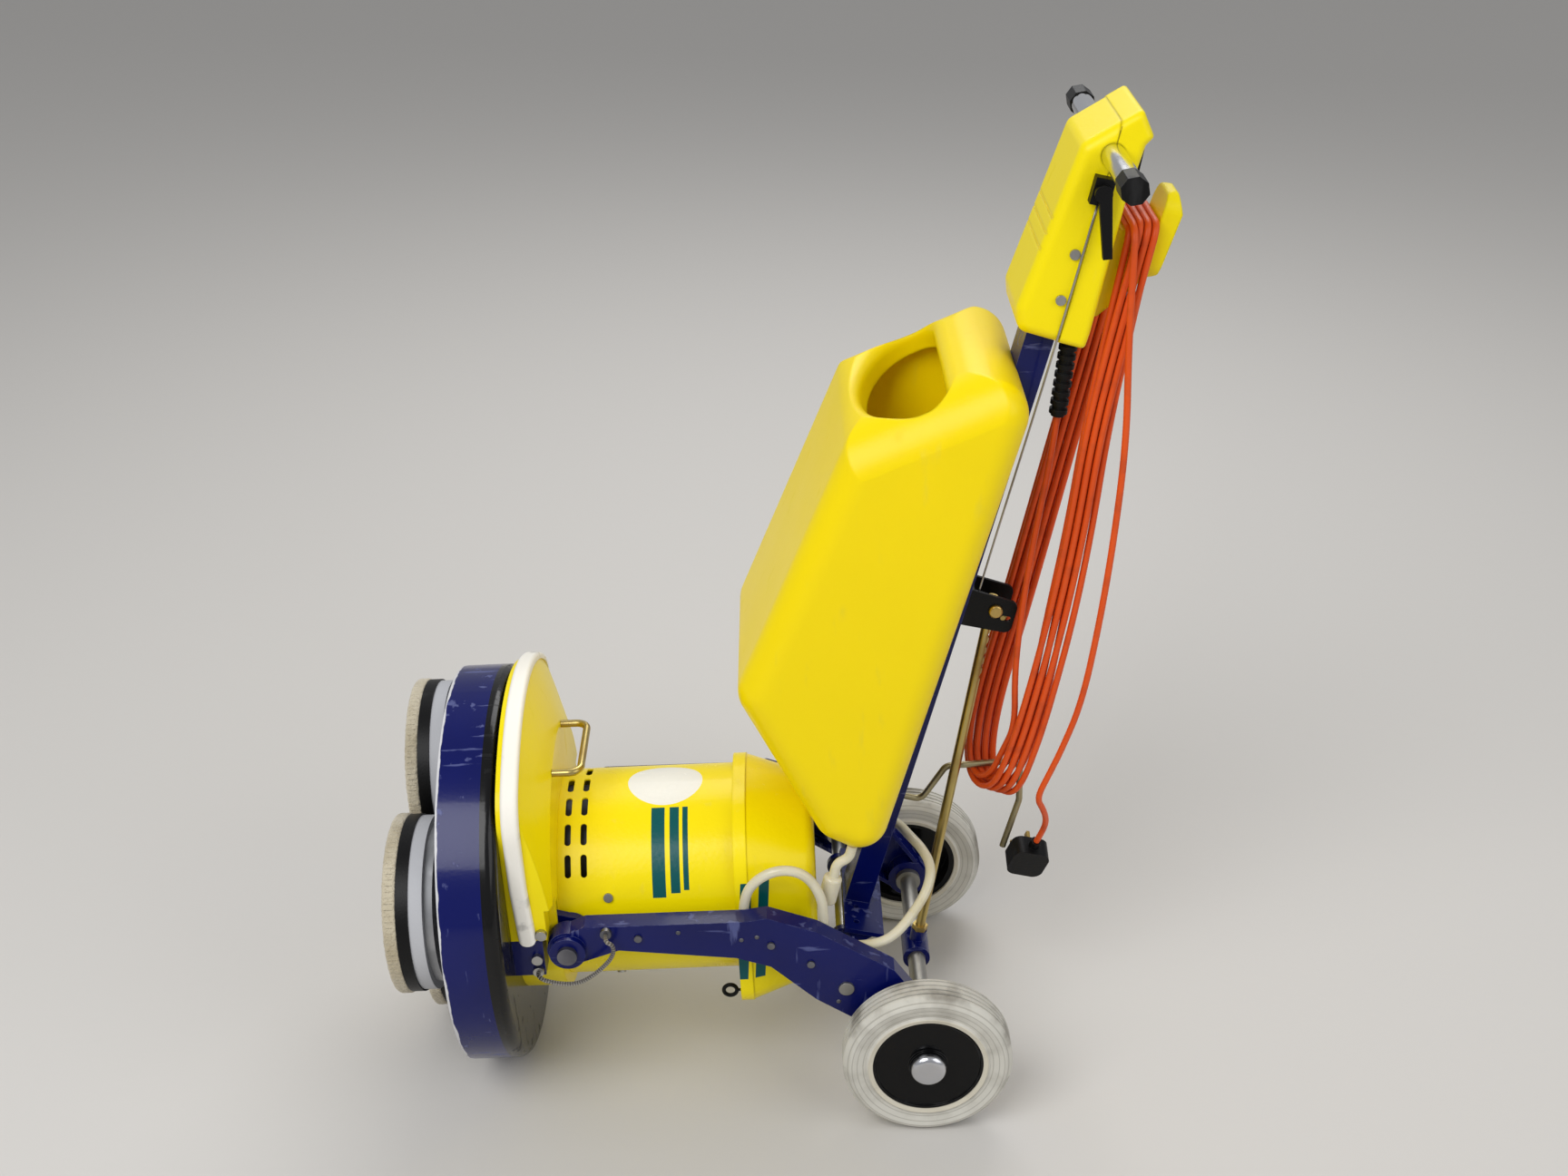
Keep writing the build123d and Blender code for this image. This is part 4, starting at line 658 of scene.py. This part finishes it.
def casing_marks(finish, shade):
    """The dark line on the sides, where the two halves of the casing meet."""
    rear = finish.along(COLUMN_FOOT, REAR)
    across = finish.along(COLUMN_FOOT, ACROSS)
    line = within(rear, SEAM_LOW, SEAM_HIGH) * (across * across > CASING_SIDE ** 2)
    return finish.mix(line * 0.6, shade, SEAM_SHADE)


casing_yellow = yellow_plastic("casing_yellow", YELLOW, 0.30, 300.0, 0.004, casing_marks)
tank_yellow = yellow_plastic("tank_yellow", TANK_YELLOW, 0.30, 90.0, 0.004)
tank_yellow.feed("Subsurface Weight", 0.25)
tank_yellow.feed("Subsurface Scale", 1.0)
tank_yellow.feed("Subsurface Radius", (0.012, 0.010, 0.001))
dress(casing_yellow, "casing_front", "casing_rear")
dress(tank_yellow, "tank")
dress(yellow_plastic("cover_yellow", YELLOW, 0.28, 200.0, 0.002), "base_cover")
print("yellow plastics ready")

# %% [markdown]
# The motor cover has a plain white oval on top and three teal bands of tape that run down its near side.
# The bands follow the cylinder, so a zone along the motor's axis, cut off by height, paints them. Each
# band has its two edges along the axis and the height of its lower end. The end cap has two upright bands
# on its near panel, which lean a little.

# %% Bands on the motor cover and its cap
TEAL = colour(8, 84, 88)
WHITE_TAPE = colour(235, 235, 230)
MOTOR_FRONT = -22
COVER_BANDS = [(0.2307, 0.2465, 0.040), (0.2524, 0.2635, 0.0445), (0.2676, 0.2740, 0.0475)]
COVER_BAND_TOP = 0.117
OVAL_UP, OVAL_NEAR = 0.2457, -0.0005
OVAL_HALF_LONG, OVAL_HALF_WIDE = 0.045, 0.041
CAP_BANDS = [(0.3315, 0.3450), (0.3535, 0.3655)]
CAP_BAND_LEAN = 0.08
CAP_PANEL = 0.095
CAP_LOW, CAP_HIGH = -0.100, 0.036


def cover_marks(finish, shade):
    up = finish.along(DECK_CENTRE, HEAD_UP)
    front = finish.along(on_head(MOTOR_FRONT, 0, 0), HEAD_FRONT)
    near = finish.along(DECK_CENTRE, -ACROSS)
    side = (near > 0.0) * (front < COVER_BAND_TOP)
    for low, high, end in COVER_BANDS:
        shade = finish.mix(within(up, low, high) * side * (front > end), shade, TEAL)
    oval_up = (up - OVAL_UP) * (1 / OVAL_HALF_LONG)
    oval_near = (near - OVAL_NEAR) * (1 / OVAL_HALF_WIDE)
    oval = (oval_up * oval_up + oval_near * oval_near < 1.0) * (front > 0.0)
    return finish.mix(oval, shade, WHITE_TAPE)


def cap_marks(finish, shade):
    up = finish.along(DECK_CENTRE, HEAD_UP)
    front = finish.along(DECK_CENTRE, HEAD_FRONT)
    near = finish.along(DECK_CENTRE, -ACROSS)
    leaning = up - CAP_BAND_LEAN * front
    panel = (near > CAP_PANEL) * within(front, CAP_LOW, CAP_HIGH)
    for low, high in CAP_BANDS:
        shade = finish.mix(within(leaning, low, high) * panel, shade, TEAL)
    return shade


dress(yellow_plastic("motor_cover_yellow", YELLOW, 0.24, 200.0, 0.001, cover_marks), "motor_cover")
dress(yellow_plastic("end_cap_yellow", YELLOW, 0.26, 200.0, 0.003, cap_marks), "motor_end_cap")
print("bands painted")

# %% [markdown]
# The deck is dark blue gloss over metal. Its open rim has rubbed white against walls. Above the rim, the
# shoulder next to the bumper and the back plate are painted black: painted shade for the shadow under the
# bumper. The arms, the column, the pivot ears and the lock rod's collar have the same blue. Scratches run
# two ways, and the paint is rubbed pale along its edges.

# %% Blue paints
NAVY = colour(3, 14, 88)
NAVY_DEEP = colour(2, 6, 54)
NAVY_PALE = colour(104, 112, 164)
BARE = colour(205, 205, 208)
BLACK = colour(9, 9, 10)
BLUE_SHINE = 0.2
PAINTED_SHADE_ABOVE = 0.050
RIM_WEAR, RIM_KEPT = 0.009, 0.0022


def blue_paint(name, gloss):
    """The finish, with the shade and the gloss that its piece may still change."""
    finish = Finish(name, BLUE_SHINE, coat_weight=0.22, coat_roughness=0.08)
    drift = finish.rise(finish.cloud(7.0), 0.3, 0.8)
    rubbed = finish.edges(0.0012) * finish.rise(finish.cloud(70.0, 4.0), 0.42, 0.62)
    long_way = finish.rise(finish.cloud(60.0, 8.0, (1, 1, 0.15)), 0.62, 0.68)
    cross_way = finish.rise(finish.cloud(75.0, 8.0, (0.15, 1, 1)), 0.63, 0.68)
    scratch = finish.node("ShaderNodeMath", {"operation": "MAXIMUM"}, {0: long_way, 1: cross_way})
    shade = finish.mix(drift * 0.4, NAVY, NAVY_DEEP)
    shade = finish.mix(scratch * 0.5, shade, NAVY_PALE)
    shade = finish.mix(rubbed * 0.7, shade, NAVY_PALE)
    finish.bump(finish.cloud(260.0, 2.0), 0.0001)
    return finish, shade, gloss + 0.25 * scratch + 0.2 * rubbed


def deck_blue():
    finish, shade, gloss = blue_paint("deck_blue", 0.22)
    up = finish.along(DECK_CENTRE, HEAD_UP)
    worn = finish.rise(RIM_WEAR * finish.cloud(26.0, 6.0) - RIM_KEPT - up, -0.0003, 0.0008)
    # Painted shade: above this height the shoulder and back plate are painted black, for the shadow under
    # the bumper.
    shade = finish.mix(up > PAINTED_SHADE_ABOVE, shade, BLACK)
    shade = finish.mix(worn, shade, BARE)
    finish.feed("Base Color", shade)
    finish.feed("Roughness", gloss + 0.2 * worn)
    return finish


def arm_blue():
    finish, shade, gloss = blue_paint("arm_blue", 0.27)
    finish.feed("Base Color", shade)
    finish.feed("Roughness", gloss)
    return finish


dress(deck_blue(), "brush_deck")
dress(arm_blue(), "arm_near", "arm_far", "handle_column", "pivot_ears", "rod_collar")
print("blue paints ready")

# %% [markdown]
# Rubber: the white bumper is soft and a little yellowed, with dark marks where it has met walls. The
# tyres are grey rubber that leaves no marks, with a cream ring beside the hub and dirt on the tread. Fine
# dark lines run round their walls. The ring and the tread are set by the square of the distance from the
# axle, which needs no root.

# %% Rubbers
WHEEL_CENTRE = on_chassis(0, 0, 100)
TREAD_FROM, TREAD_FULL = 0.0088, 0.0097
CREAM_RING = 0.0050
WALL_LINES = (0.0765, 0.0835, 0.0895, 0.0945)
LINE_HALF = 0.0006


def bumper_rubber():
    finish = Finish("bumper_rubber")
    mark = finish.rise(finish.cloud(34.0, 6.0, (1, 0.3, 1)), 0.60, 0.72)
    shade = finish.mix(finish.cloud(5.0), colour(252, 249, 241), colour(236, 232, 220))
    finish.feed("Base Color", finish.mix(mark * 0.45, shade, colour(120, 118, 116)))
    finish.feed("Roughness", 0.48 + 0.2 * mark)
    finish.bump(finish.cloud(150.0), 0.0003)
    return finish


def tyre_rubber():
    finish = Finish("tyre_grey")
    level = finish.along(WHEEL_CENTRE, (1, 0, 0))
    height = finish.along(WHEEL_CENTRE, (0, 0, 1))
    reach = level * level + height * height
    dirt = finish.rise(finish.cloud(22.0, 6.0), 0.45, 0.72)
    tread = finish.rise(reach, TREAD_FROM, TREAD_FULL)
    shade = finish.mix(finish.cloud(9.0), colour(212, 210, 201), colour(194, 191, 181))
    shade = finish.mix(dirt * 0.45, shade, colour(135, 130, 120))
    shade = finish.mix(tread * dirt * 0.7, shade, colour(118, 112, 102))
    shade = finish.mix((reach < CREAM_RING) * 0.6, shade, colour(210, 202, 180))
    radius = finish.node("ShaderNodeMath", {"operation": "SQRT"}, {0: reach})
    for line in WALL_LINES:
        dark = within(radius, line - LINE_HALF, line + LINE_HALF)
        shade = finish.mix(dark * 0.35, shade, colour(112, 106, 94))
    finish.feed("Base Color", shade)
    finish.feed("Roughness", 0.62 + 0.2 * dirt)
    finish.bump(finish.cloud(180.0, 4.0), 0.0004)
    return finish


dress(bumper_rubber(), "bumper")
dress(tyre_rubber(), "tyre_near", "tyre_far")
print("rubbers ready")

# %% [markdown]
# Black plastic is never quite black: it is greyer where hands and walls have rubbed it. The latch bracket
# is painted black and wears the same way. The wheel hubs are shinier, and scratches show more on them.
# The drive plates of the brushes are light grey. The studio's floor takes this finish with no worn edge.

# %% Black and grey plastics
WORN_BLACK = colour(66, 66, 67)
FLOOR_GREY = (0.62, 0.60, 0.57, 1)
MOULDED_SHINE = 0.2


def moulded(name, main, rubbed_colour, gloss, grain, edge_wear=0.5):
    finish = Finish(name, MOULDED_SHINE)
    rubbed = finish.edges(0.001) * finish.rise(finish.cloud(50.0, 5.0), 0.40, 0.65)
    scuff = finish.rise(finish.cloud(28.0, 8.0, (1, 1, 0.2)), 0.60, 0.75)
    shade = finish.mix(rubbed * edge_wear, main, rubbed_colour)
    finish.feed("Base Color", finish.mix(scuff * 0.3, shade, rubbed_colour))
    finish.feed("Roughness", gloss + 0.2 * scuff)
    finish.bump(finish.cloud(grain, 3.0), 0.0002)
    return finish


black_plastic = moulded("black_plastic", BLACK, WORN_BLACK, 0.42, 420.0)
sleeve_rubber = moulded("sleeve_rubber", BLACK, WORN_BLACK, 0.55, 300.0)
hub_black = moulded("hub_black", colour(6, 6, 7), colour(110, 110, 112), 0.2, 120.0)
plate_grey = moulded("plate_grey", colour(182, 183, 187), colour(205, 206, 208), 0.5, 260.0)
floor_paint = moulded("floor_paint", FLOOR_GREY, FLOOR_GREY, 0.7, 60.0, 0.0)
dress(black_plastic, "grip_caps", "lever_clamp", "release_lever", "switch_trigger", "cap_clip", "plug")
dress(black_plastic, "latch_bracket", "pad_holder_a", "pad_holder_b", "pad_holder_c")
dress(sleeve_rubber, "strain_relief")
dress(hub_black, "wheel_near", "wheel_far")
dress(plate_grey, "drive_plate_a", "drive_plate_b", "drive_plate_c")
give(floor_paint, floor)
print("plastics ready")

# %% [markdown]
# Metals differ in colour and in polish. The lift handle, lock rod and latch pin are zinc with a yellow
# passivation, mottled like a thin oil film, and on the rod hook that has gone grey. The grip is chrome.
# The fasteners are plain zinc, and the axle and the bolts of the chassis are duller.

# %% Metals


def metal(name, main, stain, gloss, grain=180.0, mottle=14.0):
    finish = Finish(name, metallic=1.0)
    patch = finish.rise(finish.cloud(mottle, 5.0), 0.38, 0.68)
    finish.feed("Base Color", finish.mix(patch, main, stain))
    finish.feed("Roughness", gloss + 0.16 * patch)
    finish.bump(finish.cloud(grain, 3.0, (1, 1, 0.3)), 0.0001)
    return finish


YELLOW_ZINC = metal("yellow_zinc", colour(188, 168, 104), colour(164, 138, 84), 0.30)
GREY_ZINC = metal("grey_zinc", colour(168, 158, 124), colour(140, 130, 104), 0.38)
PLAIN_ZINC = metal("plain_zinc", colour(178, 177, 174), colour(142, 140, 136), 0.34)
DULL_STEEL = metal("dull_steel", colour(168, 166, 160), colour(138, 135, 128), 0.46)
BOLT_STEEL = metal("bolt_steel", colour(132, 132, 138), colour(98, 98, 104), 0.40)
CHROME = metal("chrome", colour(225, 226, 230), colour(200, 201, 206), 0.07, 60.0, 6.0)
CAST = metal("cast_aluminium", colour(176, 177, 180), colour(150, 151, 154), 0.48, 90.0)
IRON = metal("core_iron", colour(96, 96, 100), colour(74, 72, 72), 0.5, 90.0)
BRASS = metal("pin_brass", colour(212, 184, 112), colour(178, 148, 86), 0.25)
dress(YELLOW_ZINC, "lift_handle", "lock_rod", "latch_pin")
dress(GREY_ZINC, "lower_hook")
dress(PLAIN_ZINC, "handle_shaft", "casing_screws", "head_bolts")
dress(DULL_STEEL, "axle")
dress(BOLT_STEEL, "chassis_bolts")
dress(CHROME, "grip_bar", "axle_caps")
dress(CAST, "gear_plate", "spindle_a", "spindle_b", "spindle_c")
dress(IRON, "stator", "rotor")
dress(BRASS, "plug_pins")
print("metals ready")

# %% [markdown]
# The cord's sheath is smooth rubber with a satin shine. The hoses let light through, so a little of it is
# scattered below the surface. The earth strap is braided: two sets of strands wind round it in opposite
# directions, which the kept measures along and round can draw.

# %% Cord, hose and braid
BRAID_PITCH = 0.006
BRAID_STRANDS = 6
BRAID_DARK = colour(92, 88, 82)
BRAID_LIGHT = colour(196, 192, 186)


def cord_orange():
    finish = Finish("cord_orange")
    dirt = finish.rise(finish.cloud(40.0, 5.0), 0.5, 0.75)
    shade = finish.mix(finish.cloud(12.0), colour(228, 90, 28), colour(208, 72, 20))
    finish.feed("Base Color", finish.mix(dirt * 0.35, shade, colour(150, 62, 36)))
    finish.feed("Roughness", 0.40 + 0.15 * dirt)
    finish.bump(finish.cloud(260.0), 0.0001, 0.0002)
    return finish


def hose_cream():
    finish = Finish("hose_cream", coat_weight=0.3, subsurface_weight=0.3)
    finish.feed("Subsurface Radius", (0.010, 0.008, 0.004))
    stain = finish.rise(finish.cloud(18.0, 4.0), 0.4, 0.75)
    finish.feed("Base Color", finish.mix(stain, colour(216, 210, 186), colour(198, 188, 152)))
    finish.feed("Roughness", 0.26 + 0.12 * stain)
    return finish


def tinned_braid():
    finish = Finish("tinned_braid", metallic=1.0, roughness=0.42)
    along, turn = finish.kept("along"), finish.kept("round")
    waves = []
    for way in (-1, 1):
        phase = along * (2 * pi / BRAID_PITCH) + turn * (way * 2 * pi * BRAID_STRANDS)
        waves.append(finish.node("ShaderNodeMath", {"operation": "SINE"}, {0: phase}))
    weave = waves[0] * waves[1]
    finish.feed("Base Color", finish.mix(finish.rise(weave, -0.6, 0.6), BRAID_DARK, BRAID_LIGHT))
    finish.bump(weave, 0.0006, 0.0002)
    return finish


HOSE = hose_cream()
give(cord_orange(), mains_cord)
give(HOSE, feed_hose, drain_hose)
dress(HOSE, "outlet_valve")
give(tinned_braid(), earth_strap)
give(PLAIN_ZINC, release_cable)
print("cord, hoses and braid ready")

# %% [markdown]
# Each brush carries a thick disc of pressed felt, pale and stained in patches, with darker fibres in it.
# Felt scatters light from its loose fibres, which the sheen of the shader stands for.

# %% Felt


def pressed_felt():
    finish = Finish("pressed_felt", roughness=0.95, sheen_weight=0.35, sheen_roughness=0.6)
    fibre = finish.cloud(420.0, 6.0)
    patch = finish.rise(finish.cloud(16.0, 4.0), 0.4, 0.7)
    shade = finish.mix(patch, colour(198, 188, 164), colour(172, 160, 132))
    strands = finish.rise(fibre, 0.5, 0.75) * 0.5
    finish.feed("Base Color", finish.mix(strands, shade, colour(150, 132, 98)))
    finish.bump(fibre + 0.6 * finish.cloud(120.0, 4.0), 0.0015, 0.0005)
    return finish


FELT = pressed_felt()
print("felt ready")

# %% [markdown]
# A felt pad has no hard edge: its rim is rounded, and loose fibres make it uneven. A cylinder is rounded
# and divided, its place is put into its mesh, and then noise moves its points.

# %% Felt pads
PAD_R = 0.104
PAD_T = 0.015
PAD_SIDES = 96
SOFT_EDGE = 0.0035
FUZZ_DEPTH = 0.0015
FUZZ_LEVEL = 0.7
FUZZ = bpy.data.textures.new("felt_fuzz", "CLOUDS")
FUZZ.noise_scale = 0.0035
FUZZ.noise_depth = 2


def deselect():
    if bpy.context.object and bpy.context.object.mode != "OBJECT":
        bpy.ops.object.mode_set(mode="OBJECT")
    bpy.ops.object.select_all(action="DESELECT")


def settle(piece):
    """Puts a piece's place into its mesh, so that its object sits at the origin."""
    deselect()
    piece.select_set(True)
    bpy.context.view_layer.objects.active = piece
    bpy.ops.object.transform_apply(location=True, rotation=True, scale=True)


def felt_pad(tag):
    low, high = (Vector(corner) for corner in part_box("floor_pad_" + tag))
    deselect()
    bpy.ops.mesh.primitive_cylinder_add(
        vertices=PAD_SIDES, radius=PAD_R, depth=PAD_T, location=(low + high) / 2,
        rotation=(0, pi / 2 - HEAD_LEAN, 0),
    )
    pad = bpy.context.object
    pad.name = "felt_pad_" + tag
    bpy.ops.object.mode_set(mode="EDIT")
    bpy.ops.mesh.select_all(action="SELECT")
    bpy.ops.mesh.bevel(offset=SOFT_EDGE, segments=4, affect="EDGES")
    bpy.ops.mesh.select_all(action="SELECT")
    bpy.ops.mesh.remove_doubles(threshold=0.00001)
    bpy.ops.mesh.normals_make_consistent(inside=False)
    bpy.ops.mesh.poke()
    bpy.ops.mesh.subdivide(number_cuts=2)
    bpy.ops.object.mode_set(mode="OBJECT")
    bpy.ops.object.shade_smooth()
    settle(pad)
    fuzz = pad.modifiers.new("fuzz", "DISPLACE")
    fuzz.texture = FUZZ
    fuzz.texture_coords = "LOCAL"
    fuzz.strength = FUZZ_DEPTH
    fuzz.mid_level = FUZZ_LEVEL
    bpy.ops.object.modifier_apply(modifier=fuzz.name)
    return pad


for tag in "abc":
    pad = felt_pad(tag)
    give(FELT, pad)
    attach(pad, "brush_" + tag)
    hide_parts("floor_pad_" + tag)
    print(pad.name, "has", len(pad.data.polygons), "faces")

# %% [markdown]
# Small fasteners finish the arms and the latch. Each is a short cylinder whose upper rim is rounded over
# into a dome. One head is modelled, and copies of its mesh are turned to face outwards, sunk a little
# into the surface and joined to one piece.

# %% Domed heads
HEAD_SIDES = 28
DOME_SHARE = 0.8
SUNK = 0.0003


def domed_head(radius, height):
    deselect()
    bpy.ops.mesh.primitive_cylinder_add(
        vertices=HEAD_SIDES, radius=radius, depth=height, location=(0, 0, height / 2),
    )
    head = bpy.context.object
    bpy.ops.object.mode_set(mode="EDIT")
    bpy.ops.mesh.select_mode(type="FACE")
    bpy.ops.mesh.select_all(action="DESELECT")
    bpy.ops.object.mode_set(mode="OBJECT")
    for face in head.data.polygons:
        face.select = face.normal.z > 0.9
    bpy.ops.object.mode_set(mode="EDIT")
    bpy.ops.mesh.bevel(offset=DOME_SHARE * height, segments=5, affect="EDGES")
    bpy.ops.object.mode_set(mode="OBJECT")
    bpy.ops.object.shade_smooth()
    settle(head)
    return head


def set_heads(name, radius, height, places):
    """Copies of one head, each with its foot on a place and its dome facing a way, as one piece."""
    model = domed_head(radius, height)
    heads = []
    for at, facing in places:
        head = model.copy()
        head.data = model.data.copy()
        bpy.context.collection.objects.link(head)
        head.location = at - SUNK * facing
        head.rotation_euler = facing.to_track_quat("Z", "Y").to_euler()
        heads.append(head)
    bpy.data.objects.remove(model)
    deselect()
    for head in heads:
        head.select_set(True)
    bpy.context.view_layer.objects.active = heads[0]
    bpy.ops.object.join()
    piece = bpy.context.object
    piece.name = name
    settle(piece)
    return piece


print("a head has", HEAD_SIDES, "sides")

# %% [markdown]
# Four small rivets go on the outer face of the near arm, and a brass nut on each side of the latch
# bracket.

# %% Rivets and nuts
RIVET_R, RIVET_H = 0.0028, 0.0016
ARM_FACE = -170.0
ARM_RIVETS = [(-291, 257), (-218, 246), (-200, 250), (-104, 155)]
NUT_R, NUT_H = 0.0085, 0.0045
NUT_REAR, NUT_SIDE, NUT_ALONG = 47.5, 22.0, 449.0

arm_rivets = set_heads("arm_rivets", RIVET_R, RIVET_H, [
    (on_chassis(x, ARM_FACE, z), -ACROSS) for x, z in ARM_RIVETS])
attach(arm_rivets, "chassis")
give(BOLT_STEEL, arm_rivets)
latch_nuts = set_heads("latch_nuts", NUT_R, NUT_H, [
    (on_handle(NUT_REAR, side * NUT_SIDE, NUT_ALONG), side * ACROSS) for side in (-1, 1)])
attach(latch_nuts, "handle")
give(BRASS, latch_nuts)
print("rivets", len(ARM_RIVETS), "and two nuts set")
